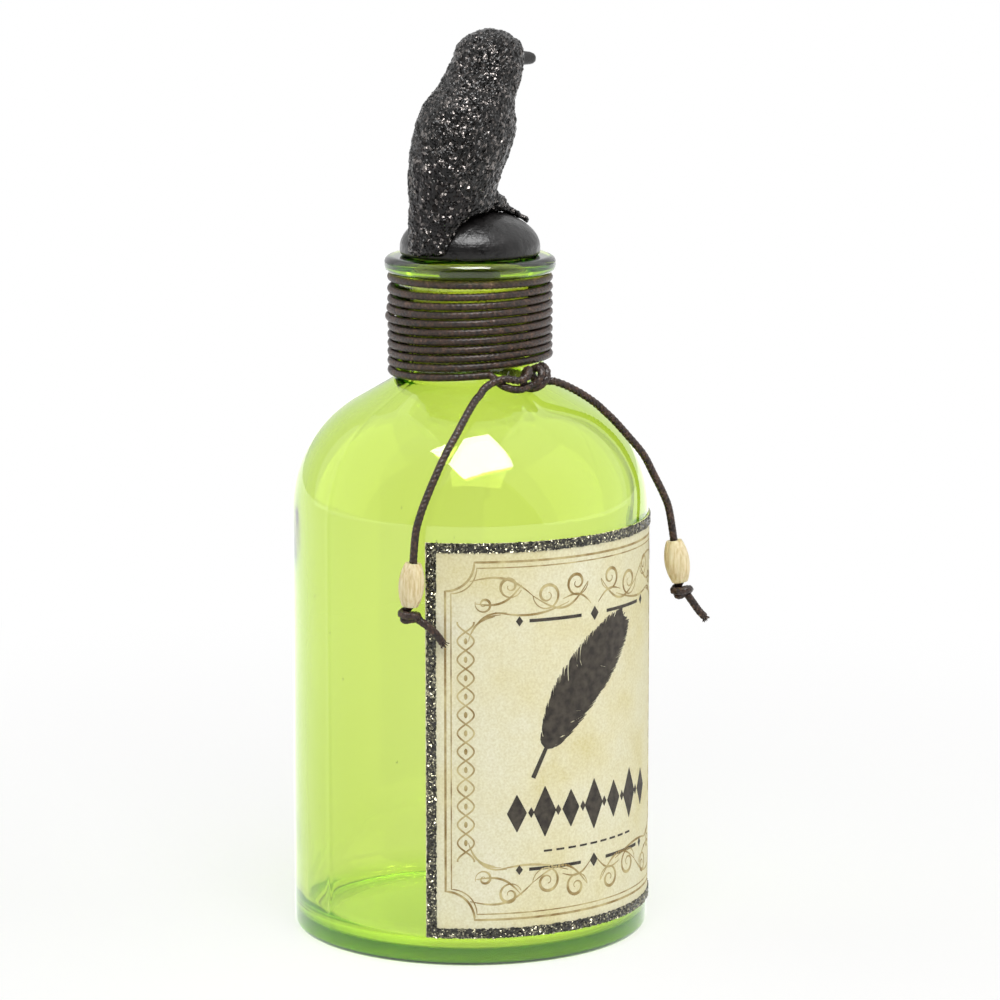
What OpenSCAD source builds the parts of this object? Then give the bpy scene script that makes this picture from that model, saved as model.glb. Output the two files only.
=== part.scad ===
// Decorative glass bottle: a round body with a straight neck, a paper label,
// waxed cord wound round the neck with two beaded tails, and a cork stopper
// topped by a small bird that sits on a smooth mound.
// Frame: origin on the bottle's axis at its base, +Z up, label facing -Y, bird facing about +X.

/* [Glass bottle] */
// Outer diameter of the body
body_d = 88; // [80:1:94]
// Height of the glass without the stopper
bottle_h = 168; // [160:0.2:190]
// Thickness of the glass wall
wall = 3.2; // [2:0.1:4]
// Thickness of the glass at the base
base_t = 3; // [2.5:0.5:9]
// Height of the hollow under the base
punt_h = 2; // [1:0.5:3]
// Radius of the rounded heel
heel_r = 2.2; // [1.6:0.2:6]
// Radius of the rounded shoulder
shoulder_r = 31; // [24:1:34]
// Angle that the shoulder turns through before it runs straight to the neck
shoulder_turn = 60; // [50:1:70]
// Outer diameter of the neck
neck_d = 36.4; // [34:0.2:38]
// Height of the neck and lip above the shoulder
neck_h = 29.8; // [29:0.2:34]
// Bore of the neck
bore_d = 29; // [26:0.5:31]
// Outer diameter of the lip
lip_d = 42.4; // [41:0.2:46]
// Height of the lip
lip_h = 4.2; // [3.4:0.1:4.4]

/* [Paper label] */
// Width of the label, measured round the glass
label_w = 87; // [60:1:110]
// Thickness of the paper
label_t = 0.25; // [0.15:0.05:0.5]
// Glass left bare between the heel and the label
label_low_gap = 5.2; // [0.2:0.1:10]
// Glass left bare between the label and the shoulder
label_top_gap = 1.1; // [0.5:0.1:10]
// Width of the glittered border
border_w = 2.4; // [1.5:0.1:4]
// Thickness of the glittered border
border_t = 0.3; // [0.2:0.05:0.5]

/* [Waxed cord] */
// Diameter of the cord
cord_d = 2; // [1.6:0.1:2]
// Turns round the neck
cord_turns = 10.5; // [6:0.5:10.5]

/* [Beads] */
// Widest diameter of a bead
bead_d = 6.2; // [5:0.1:6.4]
// Length of a bead
bead_l = 10.5; // [8:0.5:11]

/* [Cork and dowel] */
// Length of the cork
cork_l = 22; // [15:1:26]
// How much narrower the cork is at its lower end
cork_taper = 1.9; // [1:0.1:3]
// Depth of the cork's top below the lip's top
cork_drop = 4.6; // [3:0.1:6]
// Diameter of the dowel that joins the cork to the mound
dowel_d = 15; // [10:0.5:18]
// Depth of the dowel in the cork
dowel_in_cork = 10; // [6:1:12]
// Depth of the dowel in the mound
dowel_in_mound = 5.5; // [3:0.5:6]

/* [Bird and mound] */
// Diameter of the mound
mound_d = 34.4; // [33:0.2:37]
// Height of the mound's upright edge
mound_side_h = 1.8; // [1.6:0.1:3]
// Height of the mound's dome above that edge
mound_dome_h = 9.4; // [8:0.2:11]
// Height of the bird from the tip of its tail to the top of its head
bird_h = 53.8; // [50:0.2:58]
// Length of the bird's body from breast to back
bird_l = 27.2; // [25:0.2:29]
// Width of the bird across its folded wings
bird_w = 23.2; // [21:0.2:25]
// Direction that the bird faces, turned from +X
bird_facing = 10; // [-20:1:30]
// How far the beak stands out from the head
beak_l = 5.5; // [3:0.5:8]

/* [Hidden] */

$fn = 96;
arc_steps = 12;

// Clearances and the overrun of cuts
overrun = 0.5;
glue_gap = 0.02;
running_gap = 0.05;
bead_bore_gap = 0.08;
rest_gap = 0.1;
bead_rest_gap = 0.3;

// Bottle, derived
body_r = body_d / 2;
neck_r = neck_d / 2;
bore_r = bore_d / 2;
lip_r = lip_d / 2;
lip_z = bottle_h - lip_h;
neck_z = bottle_h - neck_h;
foot_w = 3;
foot_in_r = body_r - heel_r - foot_w;
inner_heel_r = 7;
neck_fillet_r = 1.5;
lip_under_r = 0.8;
lip_edge_r = 1.9;
mouth_edge_r = 0.8;
throat_r = 2;

// The shoulder: an arc that meets a straight cone, which runs to the foot of the neck
cone_r = body_r - shoulder_r * (1 - cos(shoulder_turn));
cone_z = neck_z - (cone_r - neck_r) * cos(shoulder_turn) / sin(shoulder_turn);
shoulder_z = cone_z - shoulder_r * sin(shoulder_turn);

// Label, derived
label_z = heel_r + label_low_gap;
label_h = shoulder_z - label_top_gap - label_z;
paper_r = body_r + glue_gap;
border_r = paper_r + label_t;
label_angle = label_w / paper_r * 180 / PI;
border_angle = border_w / paper_r * 180 / PI;

// Winding, derived; it comes down from under the lip and runs into the tie knot
cord_r = cord_d / 2;
wind_rings = 24;
wind_sides = 6;
wind_sag = (neck_r + cord_d) * (1 - cos(180 / wind_rings));
wind_r = neck_r + rest_gap / 2 + wind_sag + cord_r;
wind_outer_r = wind_r + cord_r;
wind_low_z = neck_z + 0.75 * cord_d;
wind_top_gap = 0.3;
cord_pitch = (lip_z - wind_top_gap - cord_r - wind_low_z) / cord_turns;
wind_end_angle = 242;
wind_run = 2.5 * cord_d;
wind_start_angle = wind_end_angle - 360 * cord_turns;

// Tie knot, at the front of the neck above the shoulder
knot_loop_r = 1.35;
knot_r = wind_outer_r + rest_gap + knot_loop_r + cord_r;
knot_z = neck_z + 0.95 * cord_d;
knot_step = 1.9;
knot_tilt = 24;
strand_in_knot = 1.8 * cord_d;

// Routes of the two tails, from the tie knot to the knots under the beads
tail_left_route = [
    [-5.3, -23.2, 139.8], [-7.8, -21.5, 140.3], [-10.3, -20.2, 139.8], [-13.3, -19.7, 138.4],
    [-15.4, -20.3, 137], [-17.6, -21, 136], [-21.7, -22.5, 133.2], [-26, -23.8, 129.4],
    [-30.2, -24.5, 125.1], [-34, -24.8, 119.8], [-36.8, -24.7, 114.9], [-38.9, -24.8, 111],
    [-40.2, -24.6, 106.5], [-40.7, -24.1, 97.75], [-41.2, -23.6, 89]
];
tail_right_route = [
    [5.2, -24.2, 138.8], [7.7, -25.2, 137.8], [10.7, -26.2, 136.2], [13.1, -27.3, 134.6],
    [16, -28.3, 132.4], [17.9, -29.5, 130.3], [19.5, -30.8, 128.3], [22.5, -32.8, 124.2],
    [25.9, -34.5, 119.6], [28.2, -35.8, 114.6], [30.3, -37.2, 109.5], [31.4, -38.1, 105.4],
    [32.4, -39.1, 96.4], [33.4, -40.1, 87.4]
];
// Routes of the short ends that stick out below the end knots
tip_left_route = [[-39.7, -25.1, 86], [-38.2, -26.6, 84.5], [-36.7, -28.1, 82.5], [-35.7, -29.1, 80.5]];
tip_right_route = [[34.9, -41.1, 84.4], [35.9, -42.1, 82.4], [36.9, -43.1, 80.4], [37.9, -44.1, 78.9]];
tail_sides = 8;
first_side = [0.3, -0.8, 0.5];

// End knots and beads
end_loop_r = 1.7;
end_tilt = 22;
end_drop = 0.95 * cord_d;
bead_end_d = 0.62 * bead_d;

// Cork, dowel and mound, derived
cork_r = bore_r - running_gap;
cork_top_z = bottle_h - cork_drop;
mound_z = bottle_h + rest_gap;
mound_r = mound_d / 2;
mound_edge_r = 1;
dome_z = mound_z + mound_side_h;
dowel_z = cork_top_z - dowel_in_cork;
dowel_top_z = mound_z + dowel_in_mound;
dowel_end_gap = 0.5;
dowel_edge = 0.6;

// Bird, derived; its tail hangs behind the mound, down almost to the lip
tail_end_gap = 0.8;
tail_stands_out = 1;
tail_back_share = 0.67;
bird_z = mound_z + tail_end_gap;
bird_x = bird_l * tail_back_share - mound_r - tail_stands_out;
bird_sides = 20;
// Each row: height, and the centre, half length and half width of the body there
bird_shares = [
    [0, -0.57, 0.13, 0.21], [0.02, -0.57, 0.172, 0.265], [0.08, -0.56, 0.18, 0.28],
    [0.13, -0.54, 0.19, 0.30], [0.16, -0.50, 0.22, 0.325], [0.18, -0.44, 0.27, 0.345],
    [0.19, -0.35, 0.37, 0.365], [0.20, -0.27, 0.45, 0.385], [0.24, -0.25, 0.46, 0.405],
    [0.29, -0.25, 0.448, 0.425], [0.325, -0.245, 0.445, 0.435], [0.37, -0.225, 0.46, 0.455],
    [0.415, -0.18, 0.48, 0.478], [0.46, -0.145, 0.49, 0.492], [0.51, -0.10, 0.50, 0.50],
    [0.555, -0.07, 0.50, 0.50], [0.60, -0.05, 0.488, 0.488], [0.645, -0.025, 0.465, 0.466],
    [0.69, 0.025, 0.44, 0.44], [0.73, 0.10, 0.412, 0.427], [0.775, 0.17, 0.385, 0.413],
    [0.82, 0.22, 0.37, 0.405], [0.865, 0.26, 0.345, 0.382], [0.91, 0.29, 0.33, 0.368],
    [0.95, 0.292, 0.28, 0.31], [0.98, 0.287, 0.19, 0.21], [1, 0.283, 0.06, 0.07]
];
beak_height_share = 0.862;
head_x_share = 0.26;
head_r_share = 0.345;
head_turn = -15;
beak_base_r = 2.2;
beak_tip_r = 1.6;
leg_fn = 16;
leg_r = 2.8;
ankle_r = 1.6;
toe_r = 1.2;
toe_l = 6;
toe_spread = 26;
leg_x_share = 0.02;
leg_height_share = 0.235;
foot_x_share = 0.22;
foot_y_share = 0.24;
foot_gap = 0.15;

// Points of an arc in the plane
function arc_points(c, r, from, to, steps = arc_steps) =
    [for (i = [0 : steps]) let (a = from + (to - from) * i / steps) c + r * [cos(a), sin(a)]];

// Points of a low dome of the given height over a disc, from its centre to its rim
function dome_points(rim_r, h, z, steps = arc_steps) =
    let (ball_r = (rim_r * rim_r + h * h) / (2 * h), half = asin(rim_r / ball_r))
    [for (i = [0 : steps]) let (a = half * i / steps) [ball_r * sin(a), z + h - ball_r * (1 - cos(a))]];

// Where a fillet of radius r on the line x sits against the shoulder's cone, d off its face
function on_cone_z(x, d) = cone_z + (d - cos(shoulder_turn) * (x - cone_r)) / sin(shoulder_turn);

function unit(v) = v / norm(v);

// Directions along a route at each of its points
function along(p) = [for (i = [0 : len(p) - 1])
    i == 0 ? unit(p[1] - p[0])
    : i == len(p) - 1 ? unit(p[i] - p[i - 1])
    : unit(unit(p[i + 1] - p[i]) + unit(p[i] - p[i - 1]))];

// Side directions, each turned from the one before as little as the route allows
function sides_of(t, i = 0, u = undef) =
    i == len(t) ? []
    : let (seed = i == 0 ? cross(t[0], first_side) : u - (u * t[i]) * t[i], s = unit(seed))
    concat([s], sides_of(t, i + 1, s));

// Rings of points round a route
function tube_rings(p, r, n) =
    let (t = along(p), u = sides_of(t))
    [for (i = [0 : len(p) - 1]) let (v = cross(t[i], u[i]))
        [for (k = [0 : n - 1]) p[i] + r * (cos(360 * k / n) * u[i] + sin(360 * k / n) * v)]];

// Triangles that skin a stack of rings of n points, closed at both ends
function skin_faces(rows, n) = concat(
    [for (i = [0 : rows - 2], k = [0 : n - 1])
        [i * n + k, i * n + (k + 1) % n, (i + 1) * n + (k + 1) % n]],
    [for (i = [0 : rows - 2], k = [0 : n - 1])
        [i * n + k, (i + 1) * n + (k + 1) % n, (i + 1) * n + k]],
    [for (k = [1 : n - 2]) [0, k + 1, k]],
    [for (k = [1 : n - 2]) [(rows - 1) * n, (rows - 1) * n + k, (rows - 1) * n + k + 1]]);

module skin(rings) {
    n = len(rings[0]);
    points = [for (ring = rings) each ring];
    polyhedron(points, [for (f = skin_faces(len(rings), n)) [f[2], f[1], f[0]]], convexity = 10);
}

// Turns a thing that points up +Z so that it points along a direction, and moves it to a place
module point_along(place, direction) {
    d = unit(direction);
    translate(place) rotate([0, acos(d[2]), atan2(d[1], d[0])]) children();
}

// A short straight strand that ends square at a point, having come from inside a knot
module strand(end, direction, length) {
    point_along(end, -direction) cylinder(r = cord_r, h = length);
}

module cord_loop(loop_r) {
    rotate_extrude() translate([loop_r, 0]) circle(r = cord_r, $fn = 32);
}

module glass_bottle() {
    neck_fillet = [neck_r + neck_fillet_r, on_cone_z(neck_r + neck_fillet_r, neck_fillet_r)];
    throat = [bore_r + throat_r, on_cone_z(bore_r + throat_r, throat_r - wall)];
    inner_heel = [body_r - wall - inner_heel_r, base_t + inner_heel_r];
    outside = concat(
        dome_points(foot_in_r, punt_h, 0),
        arc_points([body_r - heel_r, heel_r], heel_r, -90, 0),
        arc_points([body_r - shoulder_r, shoulder_z], shoulder_r, 0, shoulder_turn),
        arc_points(neck_fillet, neck_fillet_r, 180 + shoulder_turn, 180),
        arc_points([neck_r + lip_under_r, lip_z - lip_under_r], lip_under_r, 180, 90),
        arc_points([lip_r - lip_edge_r, lip_z + lip_edge_r], lip_edge_r, -90, 0),
        arc_points([lip_r - lip_edge_r, bottle_h - lip_edge_r], lip_edge_r, 0, 90));
    inside = concat(
        arc_points([bore_r + mouth_edge_r, bottle_h - mouth_edge_r], mouth_edge_r, 90, 180),
        arc_points(throat, throat_r, 180, 180 + shoulder_turn),
        arc_points([body_r - shoulder_r, shoulder_z], shoulder_r - wall, shoulder_turn, 0),
        arc_points(inner_heel, inner_heel_r, 0, -90));
    floor_points = dome_points(inner_heel[0], punt_h, base_t);
    floor_line = [for (i = [2 : len(floor_points)]) floor_points[len(floor_points) - i]];
    color([0.72, 0.86, 0.30, 0.55])
        rotate_extrude() polygon(concat(outside, inside, floor_line));
}

// A curved sheet on the front of the glass, from one radius outwards
module front_sheet(inner_r, t, angle, z, h) {
    rotate([0, 0, 270 - angle / 2])
        rotate_extrude(angle = angle) translate([inner_r, z]) square([t, h]);
}

module paper_label() {
    color([0.86, 0.85, 0.71])
        front_sheet(paper_r, label_t, label_angle, label_z, label_h);
}

module label_border() {
    color([0.10, 0.10, 0.10])
        difference() {
            front_sheet(border_r, border_t, label_angle, label_z, label_h);
            front_sheet(border_r - overrun, border_t + 2 * overrun, label_angle - 2 * border_angle,
                        label_z + border_w, label_h - 2 * border_w);
        }
}

// Centre, outward direction and up direction of the winding's rings
function wind_z(a) = wind_low_z + cord_pitch * (wind_end_angle - a) / 360;
wind_steps = wind_rings * cord_turns;
wind_slope = cord_pitch / (2 * PI * wind_r);
function wind_centre(a) = [wind_r * cos(a), wind_r * sin(a), wind_z(a)];
function wind_ahead(a) = unit([-sin(a), cos(a), -wind_slope]);
function wind_ring(centre, a) =
    let (out = [cos(a), sin(a), 0], up = cross(wind_ahead(a), out))
    [for (k = [0 : wind_sides - 1])
        centre + cord_r * (cos(360 * k / wind_sides) * out + sin(360 * k / wind_sides) * up)];
wind_end = wind_centre(wind_end_angle) + wind_run * wind_ahead(wind_end_angle);
wind_ring_list = concat(
    [wind_ring(wind_centre(wind_start_angle) - cord_d * wind_ahead(wind_start_angle), wind_start_angle)],
    [for (i = [0 : wind_steps])
        let (a = wind_start_angle + 360 * i / wind_rings) wind_ring(wind_centre(a), a)],
    [wind_ring(wind_end, wind_end_angle)]);
wind_gap = min([for (i = [0 : len(wind_ring_list) - wind_rings], j = [-2 : 2])
    i + wind_rings + j < len(wind_ring_list)
        ? min([for (p = wind_ring_list[i], q = wind_ring_list[i + wind_rings + j]) norm(p - q)])
        : cord_d]);

module neck_winding() {
    echo(least_gap_between_turns = wind_gap);
    color([0.27, 0.23, 0.20]) skin(wind_ring_list);
}

module tie_knot() {
    centre = [0, -knot_r, knot_z];
    left = tail_left_route;
    right = tail_right_route;
    color([0.27, 0.23, 0.20]) {
        for (i = [-1 : 1])
            translate(centre + [i * knot_step, 0, 0])
                rotate([0, 90, 0])
                    rotate([knot_tilt * (1 + i), 0, knot_tilt * i])
                        cord_loop(knot_loop_r);
        translate(centre - [knot_step, 0, 0]) rotate([0, 90, 0]) cylinder(r = cord_r, h = 2 * knot_step);
        strand(wind_end, -wind_ahead(wind_end_angle), strand_in_knot);
        strand(left[0], left[1] - left[0], strand_in_knot);
        strand(right[0], right[1] - right[0], strand_in_knot);
    }
}

module tail(route) {
    color([0.27, 0.23, 0.20]) skin(tube_rings(route, cord_r, tail_sides));
}

module tail_left() { tail(tail_left_route); }

module tail_right() { tail(tail_right_route); }

// The direction up the straight lower end of a tail
function tail_up(route) = unit(route[len(route) - 2] - route[len(route) - 1]);

// A barrel bead threaded on the lower end of a tail, just above the knot that stops it
module bead(route) {
    bulge = (bead_d - bead_end_d) / 2;
    half = bead_l / 2;
    side_r = (half * half + bulge * bulge) / (2 * bulge);
    sweep = asin(half / side_r);
    bore = cord_r + bead_bore_gap;
    color([0.87, 0.81, 0.67])
        point_along(route[len(route) - 1], tail_up(route))
            translate([0, 0, bead_rest_gap + half])
                rotate_extrude() difference() {
                    polygon(concat([[0, half], [0, -half]],
                        arc_points([bead_d / 2 - side_r, 0], side_r, -sweep, sweep)));
                    translate([-overrun, -half - overrun]) square([bore + overrun, bead_l + 2 * overrun]);
                }
}

module bead_left() { bead(tail_left_route); }

module bead_right() { bead(tail_right_route); }

// The knot that stops a bead, with a strand up into the tail and one out to the loose end
module end_knot(route, tip) {
    end = route[len(route) - 1];
    up = tail_up(route);
    color([0.27, 0.23, 0.20]) {
        point_along(end - end_drop * up, up) {
            rotate([end_tilt, 0, 0]) cord_loop(end_loop_r);
            rotate([-end_tilt, 0, 0]) cord_loop(end_loop_r);
            cylinder(r = cord_r + end_loop_r / 2, h = cord_r, center = true);
        }
        strand(end, up, end_drop);
        strand(tip[0], tip[1] - tip[0], cord_d);
    }
}

module end_knot_left() { end_knot(tail_left_route, tip_left_route); }

module end_knot_right() { end_knot(tail_right_route, tip_right_route); }

module tail_tip_left() { tail(tip_left_route); }

module tail_tip_right() { tail(tip_right_route); }

module cork_plug() {
    color([0.76, 0.60, 0.42])
        difference() {
            translate([0, 0, cork_top_z - cork_l])
                cylinder(r1 = cork_r - cork_taper / 2, r2 = cork_r, h = cork_l);
            translate([0, 0, dowel_z - dowel_end_gap])
                cylinder(r = dowel_d / 2 + running_gap, h = dowel_in_cork + dowel_end_gap + overrun);
        }
}

module stopper_dowel() {
    color([0.12, 0.12, 0.12]) {
        translate([0, 0, dowel_z])
            cylinder(r1 = dowel_d / 2 - dowel_edge, r2 = dowel_d / 2, h = dowel_edge);
        translate([0, 0, dowel_z + dowel_edge])
            cylinder(d = dowel_d, h = dowel_top_z - dowel_z - dowel_edge);
    }
}

// The mound: a rounded lower edge, an upright side and half an ellipse over it
module mound_form(grow = 0) {
    edge = [mound_r - mound_edge_r, mound_z + mound_edge_r];
    rotate_extrude() polygon(concat(
        [[0, mound_z - grow]],
        arc_points(edge, mound_edge_r + grow, -90, 0),
        [for (i = [0 : 2 * arc_steps]) let (a = 90 * i / (2 * arc_steps))
            [(mound_r + grow) * cos(a), dome_z + (mound_dome_h + grow) * sin(a)]]));
}

module perch_mound() {
    color([0.24, 0.23, 0.23])
        difference() {
            mound_form();
            translate([0, 0, mound_z - overrun])
                cylinder(r = dowel_d / 2 + running_gap, h = dowel_in_mound + overrun);
        }
}

// Height of the mound's dome at a distance from its axis
function dome_height(r) = dome_z + mound_dome_h * sqrt(max(0, 1 - pow(r / mound_r, 2)));

module bird_body() {
    skin([for (row = bird_shares)
        [for (k = [0 : bird_sides - 1]) let (a = 360 * k / bird_sides)
            [bird_x + bird_l * (row[1] + row[2] * cos(a)), bird_w * row[3] * sin(a),
             bird_z + bird_h * row[0]]]]);
}

// The beak, on a head that is turned a little to the bird's right
module beak() {
    face_r = bird_l * head_r_share;
    translate([bird_x + bird_l * head_x_share, 0, bird_z + bird_h * beak_height_share])
        rotate([0, 0, head_turn])
            hull() {
                translate([face_r - beak_base_r, 0, 0]) sphere(r = beak_base_r, $fn = leg_fn);
                translate([face_r + beak_l - beak_tip_r, 0, -beak_tip_r / 4])
                    sphere(r = beak_tip_r, $fn = leg_fn);
            }
}

// One leg with its three toes, on the mound's dome
module leg(side) {
    y = side * bird_w * foot_y_share;
    x = bird_x + bird_l * foot_x_share;
    hip = [bird_x + bird_l * leg_x_share, y, bird_z + bird_h * leg_height_share];
    ankle = [x, y, dome_height(norm([x, y])) + ankle_r + foot_gap];
    hull() {
        translate(hip) sphere(r = leg_r, $fn = leg_fn);
        translate(ankle) sphere(r = ankle_r, $fn = leg_fn);
    }
    for (turn = [-1 : 1]) {
        tip = [x + toe_l * cos(turn * toe_spread), y + toe_l * sin(turn * toe_spread)];
        hull() {
            translate(ankle) sphere(r = toe_r, $fn = leg_fn);
            translate([tip[0], tip[1], dome_height(norm(tip)) + toe_r / 2]) sphere(r = toe_r, $fn = leg_fn);
        }
    }
}

module bird_figure() {
    color([0.27, 0.26, 0.27])
        difference() {
            rotate([0, 0, bird_facing]) {
                bird_body();
                beak();
                leg(-1);
                leg(1);
            }
            mound_form(glue_gap);
        }
}

glass_bottle();
paper_label();
label_border();
neck_winding();
tie_knot();
tail_left();
tail_right();
bead_left();
bead_right();
end_knot_left();
end_knot_right();
tail_tip_left();
tail_tip_right();
cork_plug();
stopper_dowel();
perch_mound();
bird_figure();
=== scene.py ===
# %% [markdown]
# # A decorative glass bottle with a bird on its stopper
#
# The bottle is thick yellow-green pressed glass. Brown waxed cord is wound round its neck, a paper
# label with a glittered border is glued to its front, and a small black bird sits on the stopper.
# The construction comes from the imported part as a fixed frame, in metres, with the bottle's axis
# on Z and the label facing -Y. This lesson only adds the looks: finer meshes where light or touch
# would give a coarse one away, and materials that start from what each real piece is made of.

# %% Load the frame
import math
import random

import bmesh
import bpy
from mathutils import Matrix, Vector, noise


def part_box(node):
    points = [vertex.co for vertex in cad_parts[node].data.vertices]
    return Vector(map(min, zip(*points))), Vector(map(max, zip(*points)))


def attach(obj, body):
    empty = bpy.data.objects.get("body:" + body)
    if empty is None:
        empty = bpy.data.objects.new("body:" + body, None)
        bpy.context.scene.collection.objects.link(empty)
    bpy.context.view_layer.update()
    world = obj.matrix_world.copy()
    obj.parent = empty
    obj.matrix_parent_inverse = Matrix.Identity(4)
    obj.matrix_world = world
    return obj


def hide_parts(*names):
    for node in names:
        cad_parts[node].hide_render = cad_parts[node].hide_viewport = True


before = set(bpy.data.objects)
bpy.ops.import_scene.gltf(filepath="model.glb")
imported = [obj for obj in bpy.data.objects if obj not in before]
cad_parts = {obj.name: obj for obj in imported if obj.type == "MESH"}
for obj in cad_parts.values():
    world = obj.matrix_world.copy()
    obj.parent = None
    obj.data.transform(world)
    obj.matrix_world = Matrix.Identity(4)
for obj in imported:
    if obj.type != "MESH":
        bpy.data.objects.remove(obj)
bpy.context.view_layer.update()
MM = 0.001
print("CAD nodes:", ", ".join(sorted(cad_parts)))

# %% [markdown]
# ## Small helpers
#
# A maker reads colours off a swatch as sRGB hex values, but a shader wants linear light, so one
# function turns one into the other. A pattern is known by its real size, but a texture node wants
# how often it repeats in a metre. Two more helpers save typing: one adds a shader node with its
# settings, links and colour stops, and one turns lists of points and faces into a piece that
# rides on a body of the frame.


# %% Colour and node helpers
def linear(hex_code, alpha=1.0):
    """An sRGB hex colour as linear RGBA."""
    channels = [int(hex_code[i : i + 2], 16) / 255 for i in (0, 2, 4)]
    lin = [c / 12.92 if c <= 0.04045 else ((c + 0.055) / 1.055) ** 2.4 for c in channels]
    return (*lin, alpha)


def per_metre(size):
    """How often a pattern of the given size repeats in a metre."""
    return 1 / size


def add(tree, kind, inputs=None, stops=(), **settings):
    """Adds a shader node. inputs holds a value, or another node's output, for each socket, and
    stops holds a (place, hex colour) pair for each colour of a ramp."""
    made = tree.nodes.new(kind)
    for name, value in settings.items():
        setattr(made, name, value)
    for socket, value in (inputs or {}).items():
        if isinstance(value, bpy.types.NodeSocket):
            tree.links.new(value, made.inputs[socket])
        else:
            made.inputs[socket].default_value = value
    if stops:
        colours = made.color_ramp.elements
        while len(colours) < len(stops):
            colours.new(0.5)
        for colour, (place, hex_code) in zip(colours, stops):
            colour.position = place
            colour.color = linear(hex_code)
    return made


def new_material(name):
    """An empty material and its node tree, with the output node in place."""
    material = bpy.data.materials.new(name)
    material.use_nodes = True
    material.node_tree.nodes.clear()
    print("material:", name)
    return material, material.node_tree, add(material.node_tree, "ShaderNodeOutputMaterial")


# A Mix node blends two colours, its seventh and eighth inputs, into its third output
MIX_A, MIX_B, MIXED = 6, 7, 2


# %% Mesh helper
def piece(name, points, faces, body, material, slot, stands_for=(), smooth=True):
    """A mesh of the given points and faces that rides on a body of the frame."""
    mesh = bpy.data.meshes.new(name)
    mesh.from_pydata([tuple(p) for p in points], [], faces)
    mesh.validate()
    mesh.polygons.foreach_set("use_smooth", [smooth] * len(mesh.polygons))
    mesh.materials.append(material)
    made = bpy.data.objects.new(name, mesh)
    bpy.context.scene.collection.objects.link(made)
    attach(made, body)
    if stands_for:
        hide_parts(*stands_for)
    print(f"{name}: {len(mesh.vertices)} points, {len(mesh.polygons)} faces")
    return made


# %% [markdown]
# ## The camera
#
# The photograph was taken from a little above, far enough away that the bottle's sides stay nearly
# parallel. The view was fitted to the ellipses of the base, lip and mound and to the label's edges:
# 1.08 m from the axis, 298 mm up, turned 42.5 degrees towards the label's left edge, through a
# long lens.

# %% Camera
VIEW_TURN = math.radians(42.5)
CAMERA_DISTANCE = 1.0829
CAMERA_HEIGHT = 0.2984
CAMERA_TILT = math.radians(10.025)
CAMERA_SWING = math.radians(0.388)
LENS_MM = 160.24
SENSOR_MM = 36.0

toward_camera = Vector((-math.sin(VIEW_TURN), -math.cos(VIEW_TURN), 0))
camera_right = Vector((math.cos(VIEW_TURN), -math.sin(VIEW_TURN), 0))
level = -toward_camera * math.cos(CAMERA_SWING) + camera_right * math.sin(CAMERA_SWING)
look = level * math.cos(CAMERA_TILT) - Vector((0, 0, math.sin(CAMERA_TILT)))
camera_data = bpy.data.cameras.new("camera")
camera_data.lens, camera_data.sensor_width = LENS_MM, SENSOR_MM
camera = bpy.data.objects.new("camera", camera_data)
camera.location = toward_camera * CAMERA_DISTANCE + Vector((0, 0, CAMERA_HEIGHT))
camera.rotation_mode = "QUATERNION"
camera.rotation_quaternion = look.to_track_quat("-Z", "Y")
bpy.context.scene.collection.objects.link(camera)
bpy.context.scene.camera = camera
print("camera at", tuple(round(x, 4) for x in camera.location))

# %% [markdown]
# ## Waxed cotton cord, the material
#
# The cord is a round braid of dyed cotton, about 2 mm thick, drawn through wax. The dye gives a
# warm dark brown, mottled in patches of about 1.4 mm, and the grooves of the braid are darkened
# with painted shade. A thin coat of wax catches a lamp along the top of each strand. The braid
# itself is real relief in the mesh, so the material adds the uneven dye, the painted shade in the
# grooves and the fibres (about 0.5 mm apart).

# %% Waxed cord material
def waxed_cord():
    material, tree, out = new_material("waxed cotton cord")
    place = add(tree, "ShaderNodeTexCoord").outputs["Object"]
    dye = add(tree, "ShaderNodeTexNoise",
              {"Vector": place, "Scale": per_metre(1.4 * MM), "Detail": 6.0, "Roughness": 0.75})
    colour = add(tree, "ShaderNodeValToRGB", {0: dye.outputs["Fac"]},
                 [(0.36, "120A06"), (0.5, "33231A"), (0.6, "50392B"), (0.7, "866B58")])
    edge = add(tree, "ShaderNodeNewGeometry").outputs["Pointiness"]
    # Painted shade: the braid's colour is darkened where its surface is hollow, most in the
    # grooves.
    painted_groove_shade = add(tree, "ShaderNodeValToRGB", {0: edge},
                 [(0.44, "4A4440"), (0.5, "D8D2CC"), (0.56, "FFFFFF")])
    shaded = add(tree, "ShaderNodeMix",
                 {"Factor": 1.0, MIX_A: colour.outputs["Color"], MIX_B: painted_groove_shade.outputs["Color"]},
                 data_type="RGBA", blend_type="MULTIPLY")
    fibre = add(tree, "ShaderNodeTexNoise",
                {"Vector": place, "Scale": per_metre(0.53 * MM), "Detail": 4.0, "Roughness": 0.7})
    wax = add(tree, "ShaderNodeMapRange",
              {"Value": dye.outputs["Fac"], "To Min": 0.3, "To Max": 0.7})
    bump = add(tree, "ShaderNodeBump",
               {"Strength": 0.9, "Distance": 0.3 * MM, "Height": fibre.outputs["Fac"]})
    skin = add(tree, "ShaderNodeBsdfPrincipled",
               {"Base Color": shaded.outputs[MIXED], "Roughness": wax.outputs["Result"],
                "Specular IOR Level": 0.2, "Sheen Weight": 0.03, "Sheen Roughness": 0.4,
                "Coat Weight": 0.3, "Coat Roughness": 0.16, "Coat IOR": 1.45,
                "Normal": bump.outputs["Normal"]})
    tree.links.new(skin.outputs["BSDF"], out.inputs["Surface"])
    return material


CORD = waxed_cord()

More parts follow.
